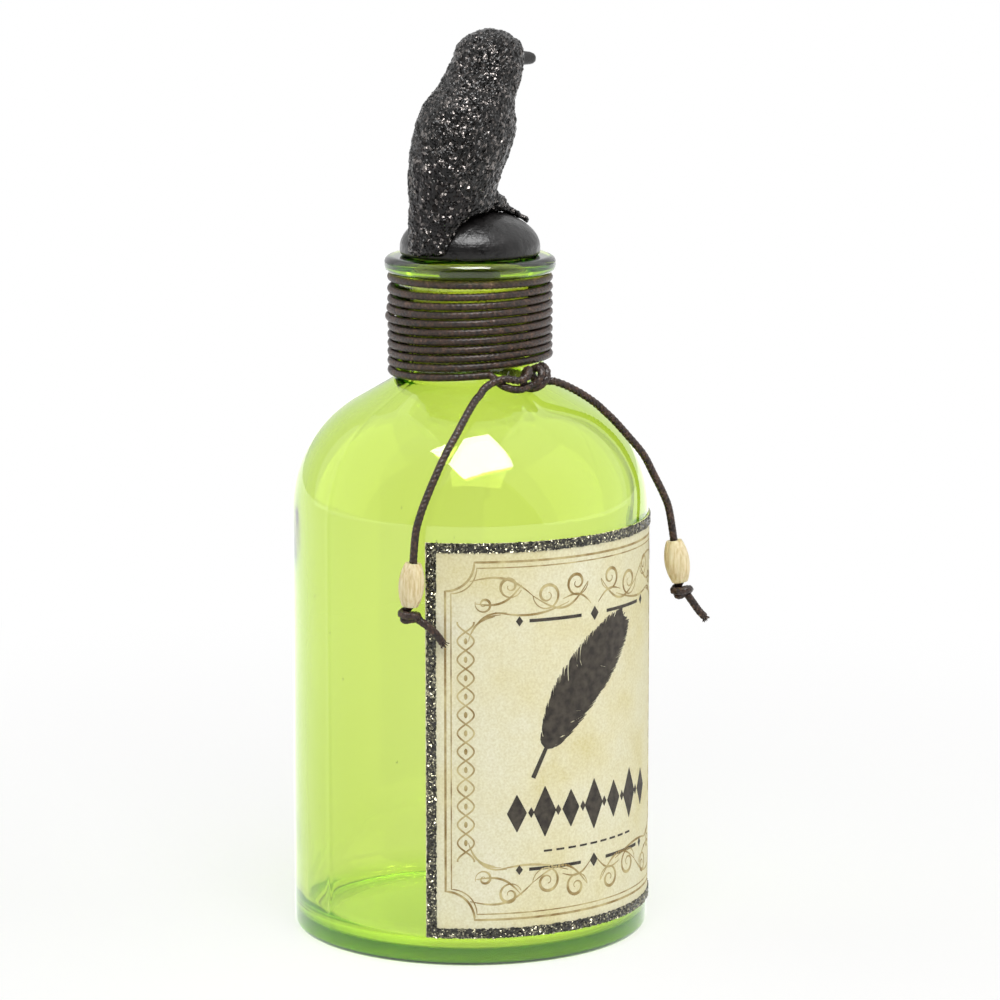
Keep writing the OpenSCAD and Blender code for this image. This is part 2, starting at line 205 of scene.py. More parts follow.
# %% [markdown]
# ## Sweeping a braided cord along a route
#
# A cord could be a curve with a round bevel, but a braid isn't round: strands cross over and
# under each other in two spirals. So the route is smoothed and cut into short equal steps, a
# frame is carried along it with as little twist as it allows, and each ring's radius follows the
# weave. Where a strand lies on top its middle stands proud; where it dives it sinks.


# %% Routes
def smooth_route(points, step):
    """Points at equal steps along a smooth curve through the given points."""
    knots = [Vector(p) for p in points]
    ends = [2 * knots[0] - knots[1], *knots, 2 * knots[-1] - knots[-2]]
    fine = []
    for a, b, c, d in zip(ends, ends[1:], ends[2:], ends[3:]):
        parts = max(2, math.ceil((c - b).length / step) * 2)
        for i in range(parts):
            t = i / parts
            fine.append(0.5 * (2 * b + (c - a) * t + (2 * a - 5 * b + 4 * c - d) * t**2
                               + (3 * b - a - 3 * c + d) * t**3))
    fine.append(knots[-1])
    return equal_steps(fine, step)


def equal_steps(fine, step):
    """The same line cut into equal steps."""
    lengths = [(b - a).length for a, b in zip(fine, fine[1:])]
    count = max(2, round(sum(lengths) / step))
    gap, run, made = sum(lengths) / count, 0.0, [fine[0]]
    for a, b, length in zip(fine, fine[1:], lengths):
        while len(made) < count and len(made) * gap <= run + length:
            made.append(a.lerp(b, (len(made) * gap - run) / length))
        run += length
    return made + [fine[-1]]


def route_length(route):
    return sum((b - a).length for a, b in zip(route, route[1:]))


# %% Braid and sweep
CORD_R = 1.0 * MM
BRAID_STRANDS = 4
BRAID_LAY = 5.2 * MM
BRAID_DEPTH = 0.24
CROWN_FLATNESS, CROWN_LOW = 0.6, 0.55
FIRST_SIDE = Vector((0.3, -0.8, 0.5))
CAP_REACH = 0.3


def braid(along, turn):
    """The share of the cord's radius at a distance along it and an angle round it."""
    a = BRAID_STRANDS * (turn / math.tau + along / BRAID_LAY)
    b = BRAID_STRANDS * (turn / math.tau - along / BRAID_LAY)
    over, across = (a, b) if (math.floor(a) + math.floor(b)) % 2 else (b, a)
    rise = CROWN_LOW + (1 - CROWN_LOW) * math.sin(math.pi * (across % 1))
    crown = math.sin(math.pi * (over % 1)) ** CROWN_FLATNESS * rise
    return 1.0 - BRAID_DEPTH + BRAID_DEPTH * crown


def sweep(route, radius, sides):
    """Rings of points round a route, closed by a point at each end, and their faces."""
    ahead = [(b - a).normalized() for a, b in zip(route, route[1:])]
    ahead = [ahead[0], *[(a + b).normalized() for a, b in zip(ahead, ahead[1:])], ahead[-1]]
    side = ahead[0].cross(FIRST_SIDE).normalized()
    points, along = [], 0.0
    for i, (centre, way) in enumerate(zip(route, ahead)):
        side = (side - side.dot(way) * way).normalized()
        other = way.cross(side)
        along += (centre - route[i - 1]).length if i else 0.0
        for k in range(sides):
            turn = math.tau * k / sides
            r = radius(along, turn) if callable(radius) else radius
            points.append(centre + r * (math.cos(turn) * side + math.sin(turn) * other))
    faces = [(i * sides + k, i * sides + (k + 1) % sides,
              (i + 1) * sides + (k + 1) % sides, (i + 1) * sides + k)
             for i in range(len(route) - 1) for k in range(sides)]
    last = (len(route) - 1) * sides
    points += [route[0] - ahead[0] * CORD_R * CAP_REACH, route[-1] + ahead[-1] * CORD_R * CAP_REACH]
    start, end = len(points) - 2, len(points) - 1
    faces += [(start, (k + 1) % sides, k) for k in range(sides)]
    faces += [(end, last + k, last + (k + 1) % sides) for k in range(sides)]
    return points, faces


def braided(route, sides=24):
    """A braided cord's mesh along a route."""
    return sweep(route, lambda along, turn: CORD_R * braid(along, turn), sides)


print(f"cord: {2 * CORD_R / MM:.1f} mm thick, {BRAID_STRANDS} strands, one turn in"
      f" {BRAID_LAY / MM:.1f} mm")

# %% [markdown]
# ## The two tails
#
# The tails leave the tie knot at the front of the neck, lie over the shoulder and hang free down
# to their beads. Their routes are the construction's own points, given in millimetres, so the
# pieces fill the places of the plain tubes. Both are shown from end to end, so nothing is
# put away out of sight. The short tips that stick out below the end knots end in a loose fray.

# %% Tails of the cord
TAIL_LEFT = [(-5.3, -23.2, 139.8), (-7.8, -21.5, 140.3), (-10.3, -20.2, 139.8),
             (-13.3, -19.7, 138.4), (-15.4, -20.3, 137), (-17.6, -21, 136), (-21.7, -22.5, 133.2),
             (-26, -23.8, 129.4), (-30.2, -24.5, 125.1), (-34, -24.8, 119.8),
             (-36.8, -24.7, 114.9), (-38.9, -24.8, 111), (-40.2, -24.6, 106.5),
             (-40.7, -24.1, 97.75), (-41.2, -23.6, 89)]
TAIL_RIGHT = [(5.2, -24.2, 138.8), (7.7, -25.2, 137.8), (10.7, -26.2, 136.2), (13.1, -27.3, 134.6),
              (16, -28.3, 132.4), (17.9, -29.5, 130.3), (19.5, -30.8, 128.3), (22.5, -32.8, 124.2),
              (25.9, -34.5, 119.6), (28.2, -35.8, 114.6), (30.3, -37.2, 109.5),
              (31.4, -38.1, 105.4), (32.4, -39.1, 96.4), (33.4, -40.1, 87.4)]
TIP_LEFT = [(-39.7, -25.1, 86), (-38.2, -26.6, 84.5), (-36.7, -28.1, 82.5), (-35.7, -29.1, 80.5)]
TIP_RIGHT = [(34.9, -41.1, 84.4), (35.9, -42.1, 82.4), (36.9, -43.1, 80.4), (37.9, -44.1, 78.9)]
TAIL_STEP = 0.16 * MM
FRAY_STRANDS, FRAY_SIDES = 14, 5
FRAY_R, FRAY_STEP = 0.13 * MM, 0.2 * MM


def in_metres(points):
    return [Vector(p) * MM for p in points]


def tail(name, points):
    """One tail of the cord, and the route that it lies on."""
    route = smooth_route(in_metres(points), TAIL_STEP)
    made = piece(name + "_cord", *braided(route), "bottle", CORD, "waxed_cord", [name])
    print(f"{name}: {route_length(route) / MM:.1f} mm long")
    return made, route


# %% Frayed tips
def frayed_tip(name, points, seed):
    """A short end of cord whose last strands have come apart."""
    rng = random.Random(seed)
    route = smooth_route(in_metres(points), TAIL_STEP)
    mesh_points, mesh_faces = braided(route)
    way = (route[-1] - route[-8]).normalized()
    across = way.orthogonal().normalized()
    for k in range(FRAY_STRANDS):
        turn = math.tau * k / FRAY_STRANDS + rng.uniform(-0.3, 0.3)
        out = (Matrix.Rotation(turn, 3, way) @ across) * rng.uniform(0.35, 0.8) * CORD_R
        reach = rng.uniform(0.5, 1.1) * MM
        strand = [route[-6] + out * 0.8, route[-1] + out + way * reach * 0.4,
                  route[-1] + out * rng.uniform(1.1, 1.7) + way * reach]
        strand_points, strand_faces = sweep(smooth_route(strand, FRAY_STEP), FRAY_R, FRAY_SIDES)
        start = len(mesh_points)
        mesh_points += strand_points
        mesh_faces += [tuple(start + i for i in face) for face in strand_faces]
    return piece(name + "_cord", mesh_points, mesh_faces, "bottle", CORD, "waxed_cord", [name])


left_cord, left_route = tail("tail_left", TAIL_LEFT)
right_cord, right_route = tail("tail_right", TAIL_RIGHT)
left_tip = frayed_tip("tail_tip_left", TIP_LEFT, seed=11)
right_tip = frayed_tip("tail_tip_right", TIP_RIGHT, seed=12)

# %% [markdown]
# ## The knots
#
# Each tail ends in a small overhand knot that keeps its bead on, and the two ends of the winding
# are tied together at the front. A knot is the same cord again, so it is the same sweep along a
# tighter route. The routes below are written in millimetres round each knot's own middle.

# %% Knots under the beads
KNOT_STEP = 0.2 * MM
END_KNOT = [(0, 0, 1.2), (0, 0.2, 0.2), (-1.0, 0.9, -0.9), (-1.9, -0.4, -1.5), (-0.6, -1.9, -1.6),
            (1.4, -1.5, -1.7), (2.0, 0.3, -1.9), (0.7, 1.7, -2.1), (-1.0, 1.1, -2.6),
            (-0.9, -0.6, -3.0)]


def end_knot(name, tail_points, tip_points):
    """An overhand knot in a frame that looks up the tail and faces the camera."""
    end, before = (Vector(p) * MM for p in (tail_points[-1], tail_points[-2]))
    up = (before - end).normalized()
    front = (toward_camera - toward_camera.dot(up) * up).normalized()
    across = front.cross(-up)
    line = [end + (x * across - y * front + z * up) * MM for x, y, z in END_KNOT]
    tip = in_metres(tip_points)
    line += [tip[0] + (tip[0] - tip[1]) * 0.2, tip[0] + (tip[1] - tip[0]) * 0.3]
    return piece(name + "_cord", *braided(smooth_route(line, KNOT_STEP)), "bottle", CORD,
                 "waxed_cord", [name])


knot_left = end_knot("end_knot_left", TAIL_LEFT, TIP_LEFT)
knot_right = end_knot("end_knot_right", TAIL_RIGHT, TIP_RIGHT)

# %% The tie knot at the front of the neck
TIE_CENTRE = Vector((0, -22.85, 140.1))
TIE_LOWER = [(-8.6, -4.9, 0.0), (-8.2, -2.6, -1.4), (-6.6, -0.9, -2.3), (-4.6, 0.1, -2.5),
             (-2.8, 0.3, -2.2), (-1.2, 0.9, -1.7), (0.1, 1.9, -0.4), (1.0, 1.7, 1.2), (1.3, 0, 2.2),
             (1.1, -1.7, 1.4), (1.6, -1.9, -0.4), (2.6, -0.9, -1.2), (3.9, 0.4, -1.3),
             (5.2, 1.35, -1.3)]
TIE_UPPER = [(5.2, -3.3, 1.5), (4.2, -1.9, 2.2), (3.3, 0.2, 2.1), (2.6, 1.9, 1.0),
             (1.5, 2.4, -0.7), (0, 1.5, -2.2), (-1.4, -0.5, -2.6), (-1.7, -2.0, -1.2),
             (-1.3, -1.9, 0.9), (-1.5, -0.4, 2.0), (-2.5, 0.8, 1.2), (-3.9, 0.8, 0.1),
             (-5.3, 0.35, -0.3)]


def tie_knot():
    """Both ends of the winding, tied once round each other."""
    points, faces = [], []
    for line in (TIE_LOWER, TIE_UPPER):
        route = smooth_route([(TIE_CENTRE + Vector((x, -out, z))) * MM for x, out, z in line],
                             KNOT_STEP)
        more_points, more_faces = braided(route)
        faces += [tuple(len(points) + i for i in face) for face in more_faces]
        points += more_points
    return piece("tie_knot_cord", points, faces, "bottle", CORD, "waxed_cord", ["tie_knot"])


knot = tie_knot()

# %% [markdown]
# ## The parts that hang free
#
# A tail is limp and hangs by its own weight, but here each tail keeps the fixed shape of its
# route above. Its length, measured along that route, is printed where it is built.

print("both tails hang from the tie knot to their beads")

# %% [markdown]
# ## The winding round the neck
#
# One cord goes ten and a half times round the neck. A perfect spring would look printed, so the
# height of each turn at the front is written down as it was wound by hand: a slack gap under the
# first turn, and two turns that stand a little proud at the left. The turns also lean: each rises
# to the right by its own tilt. Between those heights the cord follows a smooth screw, and it runs
# down into the tie knot at the end.

# %% Winding
NECK_R = 18.2 * MM
FRONT_ANGLE = math.radians(227.5)
END_ANGLE = math.radians(242)
ROW_HEIGHTS = [164.9, 162.75, 159.9, 157.65, 155.6, 153.5, 151.35, 149.2, 147.1, 145.05, 142.9,
               140.6, 138.4]
ROW_TILTS = [0.3, 0.4, 0.9, 1.0, 1.05, 1.1, 1.15, 1.2, 1.25, 1.3, 1.4, 1.5, 1.5]
TILT_ANGLE = math.radians(317.5)
ROW_LIMIT = 162.75
TURNS = 10.5
PROUD_ROW, PROUD_REACH, PROUD_POWER = 4.5, 1.2, 1.5
PROUD_ANGLE = math.radians(137.5)
WINDING_STEPS, WINDING_STEP, WINDING_SIDES = 2400, 0.3 * MM, 20
SLACK, WOBBLE, PROUD, SAG = (x * MM for x in (0.12, 0.12, 0.7, 0.06))


def at_row(values, turns_back):
    """The value where the cord has turns_back turns left before the last pass of the front."""
    place = len(values) - 2 - turns_back
    low = min(len(values) - 2, max(0, math.floor(place)))
    share = place - low
    return values[low] * (1 - share) + values[low + 1] * share


def winding():
    """The cord round the neck, from under the lip down into the tie knot."""
    line = []
    for i in range(WINDING_STEPS + 1):
        angle = END_ANGLE - math.tau * TURNS * (1 - i / WINDING_STEPS)
        back = (FRONT_ANGLE - angle) / math.tau
        row = len(ROW_HEIGHTS) - 2 - back
        wobble = noise.noise(Vector((math.cos(angle) * 2, math.sin(angle) * 2, row * 1.7)))
        proud = max(0, 1 - abs(row - PROUD_ROW) / PROUD_REACH)
        proud *= max(0, math.cos(angle - PROUD_ANGLE)) ** PROUD_POWER
        r = NECK_R + CORD_R + SLACK + WOBBLE * wobble + PROUD * proud
        z = at_row(ROW_HEIGHTS, back) + at_row(ROW_TILTS, back) * math.cos(angle - TILT_ANGLE)
        z = min(z, ROW_LIMIT) * MM + SAG * noise.noise(Vector((angle * 1.3, row, 4.0)))
        line.append(Vector((r * math.cos(angle), r * math.sin(angle), z)))
    knot_end = (TIE_CENTRE + Vector((TIE_LOWER[0][0], -TIE_LOWER[0][1], TIE_LOWER[0][2]))) * MM
    line += [line[-1].lerp(knot_end, share) for share in (0.35, 0.7, 1)]
    route = equal_steps(line, WINDING_STEP)
    print(f"winding: {route_length(route):.3f} m of cord in {TURNS} turns")
    piece("neck_winding_cord", *braided(route, WINDING_SIDES), "bottle", CORD, "waxed_cord",
          ["neck_winding"])


winding()

# %% [markdown]
# ## Pressed glass
#
# The glass is soda-lime, coloured right through, so it isn't a tinted surface: light loses blue
# and some red for every millimetre that it travels inside. Volume absorption does exactly that,
# and makes the thick base and the lip deeper than the wall. An index of refraction of 1.5 bends
# and reflects the light. Lamps would be stopped by the wall, since a path tracer can't aim
# through a bend, so for the lamps' rays alone the surface lets light straight through. The mould
# leaves the underside of the base stippled, so there the glass is rough and scatters the light.

# %% Glass material
GLASS_IOR = 1.5
GLASS_TINT, GLASS_DENSITY = "E4F231", 320.0
STIPPLE_TOP, STIPPLE_R, STIPPLE_ROUGH = 2.3 * MM, 41 * MM, 0.5


def green_glass():
    material, tree, out = new_material("yellow-green soda-lime glass")
    place = add(tree, "ShaderNodeTexCoord").outputs["Object"]
    parts = add(tree, "ShaderNodeSeparateXYZ", {"Vector": place})
    level = add(tree, "ShaderNodeVectorMath", {0: place, 1: (1, 1, 0)}, operation="MULTIPLY")
    r = add(tree, "ShaderNodeVectorMath", {0: level.outputs["Vector"]}, operation="LENGTH")
    within = add(tree, "ShaderNodeMath", {0: r.outputs["Value"], 1: STIPPLE_R},
                 operation="LESS_THAN")
    below = add(tree, "ShaderNodeMath", {0: parts.outputs["Z"], 1: STIPPLE_TOP},
                operation="LESS_THAN")
    both = add(tree, "ShaderNodeMath", {0: within.outputs[0], 1: below.outputs[0]},
               operation="MULTIPLY")
    rough = add(tree, "ShaderNodeMath", {0: both.outputs[0], 1: STIPPLE_ROUGH},
                operation="MULTIPLY")
    body = add(tree, "ShaderNodeBsdfPrincipled",
               {"Base Color": linear("FFFFFF"), "Roughness": rough.outputs[0], "IOR": GLASS_IOR,
                "Transmission Weight": 1.0})
    lamp_light = add(tree, "ShaderNodeBsdfTransparent", {"Color": linear("FFFFFF")})
    kind = add(tree, "ShaderNodeLightPath").outputs["Is Shadow Ray"]
    surface = add(tree, "ShaderNodeMixShader",
                  {0: kind, 1: body.outputs["BSDF"], 2: lamp_light.outputs["BSDF"]})
    colour = add(tree, "ShaderNodeVolumeAbsorption",
                 {"Color": linear(GLASS_TINT), "Density": GLASS_DENSITY})
    tree.links.new(surface.outputs["Shader"], out.inputs["Surface"])
    tree.links.new(colour.outputs["Volume"], out.inputs["Volume"])
    return material


GLASS = green_glass()

# %% [markdown]
# ## The bottle's shape
#
# A bottle is a lathe form: one outline turned round the axis. The construction has it already,
# but glass shows every flat, so the outline is turned again in finer steps. The two halves of
# the iron mould leave a thin seam down each side, the inside of the wall is never quite even,
# and a few small bubbles stay in the glass. Each of these bends the light a little.

# %% Outline of the glass
glass_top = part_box("glass_bottle")[1]
BODY_R, GLASS_H = glass_top.x, glass_top.z
WALL, BASE_T, PUNT_H, HEEL_R, FOOT_W = (x * MM for x in (3.2, 3.0, 2.0, 2.2, 3.0))
SHOULDER_R, SHOULDER_TURN = 31 * MM, math.radians(60)
NECK_H, BORE_R, LIP_R, LIP_H = (x * MM for x in (29.8, 14.5, 21.2, 4.2))
INNER_HEEL_R, NECK_FILLET_R, THROAT_R = (x * MM for x in (7.0, 1.5, 2.0))
LIP_UNDER_R, LIP_EDGE_R, MOUTH_EDGE_R = (x * MM for x in (0.8, 1.9, 0.8))


def arc(x, z, r, start, end, steps=10):
    """Points of an arc in the outline, its angles in degrees."""
    return [(x + r * math.cos(a), z + r * math.sin(a))
            for a in (math.radians(start + (end - start) * i / steps) for i in range(steps + 1))]


def line(start, end, steps):
    """Points between two points of the outline, without its ends."""
    return [tuple(Vector(start).lerp(Vector(end), i / steps)) for i in range(1, steps)]


def glass_outline():
    """The outside from the middle of the base up to the lip, then the inside back down."""
    lip_z, neck_z = GLASS_H - LIP_H, GLASS_H - NECK_H
    cone_r = BODY_R - SHOULDER_R * (1 - math.cos(SHOULDER_TURN))
    slope = math.cos(SHOULDER_TURN) / math.sin(SHOULDER_TURN)
    cone_z = neck_z - (cone_r - NECK_R) * slope
    shoulder_z = cone_z - SHOULDER_R * math.sin(SHOULDER_TURN)

    def on_cone(x, out):
        return cone_z + (out - math.cos(SHOULDER_TURN) * (x - cone_r)) / math.sin(SHOULDER_TURN)

    def low_dome(rim, z):
        ball = (rim**2 + PUNT_H**2) / (2 * PUNT_H)
        half = math.asin(rim / ball)
        return [(ball * math.sin(half * i / 12), z + PUNT_H - ball * (1 - math.cos(half * i / 12)))
                for i in range(13)]

    turn = math.degrees(SHOULDER_TURN)
    foot, wall_x = BODY_R - HEEL_R - FOOT_W, BODY_R - WALL
    fillet_x, throat_x = NECK_R + NECK_FILLET_R, BORE_R + THROAT_R
    outside = low_dome(foot, 0.0)
    outside += arc(BODY_R - HEEL_R, HEEL_R, HEEL_R, -90, 0, 16)
    outside += line((BODY_R, HEEL_R), (BODY_R, shoulder_z), 26)
    shoulder = arc(BODY_R - SHOULDER_R, shoulder_z, SHOULDER_R, 0, turn, 32)
    fillet = arc(fillet_x, on_cone(fillet_x, NECK_FILLET_R), NECK_FILLET_R, 180 + turn, 180, 8)
    outside += shoulder + line(shoulder[-1], fillet[0], 8) + fillet
    outside += arc(NECK_R + LIP_UNDER_R, lip_z - LIP_UNDER_R, LIP_UNDER_R, 180, 90, 6)
    outside += arc(LIP_R - LIP_EDGE_R, lip_z + LIP_EDGE_R, LIP_EDGE_R, -90, 0, 12)
    outside += arc(LIP_R - LIP_EDGE_R, GLASS_H - LIP_EDGE_R, LIP_EDGE_R, 0, 90, 12)
    inside = arc(BORE_R + MOUTH_EDGE_R, GLASS_H - MOUTH_EDGE_R, MOUTH_EDGE_R, 90, 180, 6)
    inside += line((BORE_R, GLASS_H - MOUTH_EDGE_R), (BORE_R, neck_z), 8)
    throat = arc(throat_x, on_cone(throat_x, THROAT_R - WALL), THROAT_R, 180, 180 + turn, 8)
    hollow = arc(BODY_R - SHOULDER_R, shoulder_z, SHOULDER_R - WALL, turn, 0, 32)
    inside += throat + line(throat[-1], hollow[0], 8) + hollow
    inside += line((wall_x, shoulder_z), (wall_x, BASE_T + INNER_HEEL_R), 26)
    inside += arc(wall_x - INNER_HEEL_R, BASE_T + INNER_HEEL_R, INNER_HEEL_R, 0, -90, 14)
    return outside, inside + low_dome(wall_x - INNER_HEEL_R, BASE_T)[-2::-1]


# %% Lathe, mould seams and waves
SEAM_ANGLES = [math.radians(176), math.radians(356)]
SEAM_H, SEAM_W = 0.07 * MM, 0.8 * MM
SEAM_OFFSETS = [x * MM for x in (-2.0, -1.3, -0.9, -0.6, -0.3, 0.3, 0.6, 0.9, 1.3, 2.0)]
COLUMNS = 240
WAVES_PER_M, RIPPLES_PER_M, RIPPLE_SHARE = 38, 110, 0.4
WAVE_OUT, WAVE_IN, WAVE_BASE = 0.012 * MM, 0.16 * MM, 0.05 * MM


def lathe_angles():
    """Even steps round the axis, with more beside each mould seam."""
    beside = [seam + offset / BODY_R for seam in SEAM_ANGLES for offset in SEAM_OFFSETS]
    even = [math.tau * i / COLUMNS for i in range(COLUMNS)]
    kept = [a for a in even if min(abs(a - b) for b in beside) > 0.3 * math.tau / COLUMNS]
    return sorted(a % math.tau for a in kept + beside + SEAM_ANGLES)


def seam(angle, r):
    """How far the mould seam stands out at an angle."""
    away = min(abs((angle - s + math.pi) % math.tau - math.pi) for s in SEAM_ANGLES) * r
    return SEAM_H * math.exp(-((away / SEAM_W) ** 2))


# %% Turning the outline
def turned_glass():
    """The whole wall, outside and inside, as one closed mesh."""
    outside, inside = glass_outline()
    outline = outside + inside
    angles = lathe_angles()
    count = len(angles)
    points = [(0, 0, outline[0][1])]
    for i, (x, z) in enumerate(outline[1:-1], 1):
        outer = i < len(outside)
        on_wall = HEEL_R < z < GLASS_H - LIP_H * 1.5 and x > NECK_R * 0.7
        for angle in angles:
            way = Vector((math.cos(angle), math.sin(angle), 0))
            spot = way * x + Vector((0, 0, z))
            wave = noise.noise(spot * WAVES_PER_M + Vector((0, 0, 3.0)))
            wave += RIPPLE_SHARE * noise.noise(spot * RIPPLES_PER_M)
            r = x
            if outer and on_wall:
                r += seam(angle, x) - SEAM_H * 0.15 + WAVE_OUT * wave
            elif not outer:
                depth = WAVE_IN if z > BASE_T * 1.6 else WAVE_BASE
                r += depth * wave * min(1, x / BORE_R)
            points.append((way.x * r, way.y * r, z))
    points.append((0, 0, outline[-1][1]))
    rows = len(outline) - 2
    faces = [(1 + i * count + k, 1 + i * count + (k + 1) % count,
              1 + (i + 1) * count + (k + 1) % count, 1 + (i + 1) * count + k)
             for i in range(rows - 1) for k in range(count)]
    last = 1 + (rows - 1) * count
    faces += [(0, 1 + (k + 1) % count, 1 + k) for k in range(count)]
    faces += [(len(points) - 1, last + k, last + (k + 1) % count) for k in range(count)]
    return points, faces


# %% Bubbles and the finished glass
BUBBLES = 46
BUBBLE_STRETCH = 1.6


def bubbles(count, seed):
    """Small long bubbles inside the wall: closed shells whose faces look inwards."""
    rng = random.Random(seed)
    ball = bmesh.new()
    bmesh.ops.create_icosphere(ball, subdivisions=1, radius=1.0)
    unit = [v.co.copy() for v in ball.verts]
    unit_faces = [[v.index for v in f.verts] for f in ball.faces]
    ball.free()
    points, faces = [], []
    for _ in range(count):
        angle, z = rng.uniform(0, math.tau), rng.uniform(12, 104) * MM
        size = rng.uniform(0.10, 0.26) * MM
        way = Vector((math.cos(angle), math.sin(angle), 0))
        centre = way * (BODY_R - WALL * rng.uniform(0.35, 0.65)) + Vector((0, 0, z))
        start = len(points)
        points += [centre + Vector((p.x, p.y, p.z * BUBBLE_STRETCH)) * size for p in unit]
        faces += [tuple(start + i for i in reversed(face)) for face in unit_faces]
    return points, faces


glass_points, glass_faces = turned_glass()
bubble_points, bubble_faces = bubbles(BUBBLES, seed=5)
bubble_faces = [tuple(len(glass_points) + i for i in face) for face in bubble_faces]
piece("glass_bottle_pressed", glass_points + bubble_points, glass_faces + bubble_faces, "bottle",
      GLASS, "green_glass", ["glass_bottle"])

# %% [markdown]
# ## Paper for the label
#
# The label is uncoated paper printed to look like old parchment: cream, with soft yellow stains
# and a fine fibre. It is matte, and its pattern is large soft noise for the stains (about 22 mm)
# over a fine one for the fibres (about 0.5 mm).

# %% Paper material
def parchment():
    material, tree, out = new_material("parchment paper")
    place = add(tree, "ShaderNodeTexCoord").outputs["Object"]
    stain = add(tree, "ShaderNodeTexNoise",
                {"Vector": place, "Scale": per_metre(22 * MM), "Detail": 5.0, "Roughness": 0.6})
    fibre = add(tree, "ShaderNodeTexNoise",
                {"Vector": place, "Scale": per_metre(0.55 * MM), "Detail": 2.0})
    cream = add(tree, "ShaderNodeValToRGB", {0: stain.outputs["Fac"]},
                [(0.3, "DBD3A4"), (0.45, "E2DDBB"), (0.6, "E4E1C6"), (0.75, "E8E5D0")])
    speck = add(tree, "ShaderNodeValToRGB", {0: fibre.outputs["Fac"]},
                [(0.3, "F0ECE0"), (0.7, "FFFFFF")])
    colour = add(tree, "ShaderNodeMix",
                 {"Factor": 1.0, MIX_A: cream.outputs["Color"], MIX_B: speck.outputs["Color"]},
                 data_type="RGBA", blend_type="MULTIPLY")
    bump = add(tree, "ShaderNodeBump",
               {"Strength": 0.2, "Distance": 0.05 * MM, "Height": fibre.outputs["Fac"]})
    skin = add(tree, "ShaderNodeBsdfPrincipled",
               {"Base Color": colour.outputs[MIXED], "Roughness": 0.75,
                "Specular IOR Level": 0.3, "Normal": bump.outputs["Normal"]})
    tree.links.new(skin.outputs["BSDF"], out.inputs["Surface"])
    return material


PAPER = parchment()


# %% Printing inks
def printed_ink(name, dark, pale, grain):
    """Ink in the paper's surface, with the uneven tone of an old plate."""
    material, tree, out = new_material(name)
    place = add(tree, "ShaderNodeTexCoord").outputs["Object"]
    tone = add(tree, "ShaderNodeTexNoise",
               {"Vector": place, "Scale": per_metre(grain), "Detail": 4.0})
    colour = add(tree, "ShaderNodeValToRGB", {0: tone.outputs["Fac"]}, [(0.35, dark), (0.65, pale)])
    skin = add(tree, "ShaderNodeBsdfPrincipled",
               {"Base Color": colour.outputs["Color"], "Roughness": 0.7,
                "Specular IOR Level": 0.25})
    tree.links.new(skin.outputs["BSDF"], out.inputs["Surface"])
    return material


SEPIA_INK = printed_ink("sepia printing ink", "8C7445", "C6B886", 3.8 * MM)
DARK_INK = printed_ink("brown-black printing ink", "2E2A26", "4A443C", 2 * MM)


def dress(node, material):
    """Gives a node of the frame its finish."""
    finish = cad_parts[node].data.materials
    finish.clear()
    finish.append(material)


dress("paper_label", PAPER)

# %% [markdown]
# ## The print on the label
#
# The print is a generic design in the tones of an old apothecary's label: a double rule with
# scooped corners, twisted ribbons down the sides, paired scrolls above and below, a large quill
# feather in the middle and a row of lozenges under it. Ink can be painted by a shader, but thin
# ribbons laid on the paper keep their edges at any distance as real shapes. Each
# ribbon is drawn flat, as distance along the paper and height, and then wrapped round the glass.

# %% Ribbons of ink
paper_low, paper_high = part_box("paper_label")
PAPER_R = -paper_low.y
LABEL_HALF = 43.5
LABEL_LOW, LABEL_TOP = paper_low.z / MM, paper_high.z / MM
LABEL_MID = (LABEL_LOW + LABEL_TOP) / 2
INK_T = 0.04 * MM
INK_STEP = 1.0
print(f"label: {2 * LABEL_HALF:.0f} mm round the glass, {LABEL_TOP - LABEL_LOW:.1f} mm high")


def on_label(s, z, out=INK_T):
    """A point s mm along the paper from its middle and z mm up, out metres off its face."""
    angle = -math.pi / 2 + s * MM / PAPER_R
    r = PAPER_R + out
    return (r * math.cos(angle), r * math.sin(angle), z * MM)


# %% Strips wrapped round the glass
def fine_rows(strip):
    """A strip cut into rows of points no more than INK_STEP apart either way."""
    widest = max((Vector(right) - Vector(left)).length for left, right in strip)
    across = max(1, math.ceil(widest / INK_STEP))
    rows = []
    for (left, right), (next_left, next_right) in zip(strip, strip[1:]):
        ends = [(Vector(left), Vector(next_left)), (Vector(right), Vector(next_right))]
        steps = max(1, math.ceil(max((b - a).length for a, b in ends) / INK_STEP))
        rows += [[a.lerp(b, i / steps) for a, b in ends] for i in range(steps)]
    rows.append([Vector(p) for p in strip[-1]])
    return [[left.lerp(right, k / across) for k in range(across + 1)] for left, right in rows]


def inked(strips):
    """One closed thin mesh from strips, each a list of (left, right) pairs of flat points."""
    points, faces = [], []
    for strip in strips:
        rows = fine_rows(strip)
        start, n = len(points), len(rows[0])
        for row in rows:
            points += [on_label(*p) for p in row] + [on_label(*p, -INK_T) for p in row]
        for i in range(len(rows) - 1):
            a, b = start + 2 * n * i, start + 2 * n * (i + 1)
            for k in range(n - 1):
                faces += [(a + k, a + k + 1, b + k + 1, b + k),
                          (a + n + k, b + n + k, b + n + k + 1, a + n + k + 1)]
            faces += [(a, b, b + n, a + n),
                      (a + n - 1, a + 2 * n - 1, b + 2 * n - 1, b + n - 1)]
        end = start + 2 * n * (len(rows) - 1)
        for k in range(n - 1):
            faces += [(start + k, start + n + k, start + n + k + 1, start + k + 1),
                      (end + k, end + k + 1, end + n + k + 1, end + n + k)]
    return points, faces


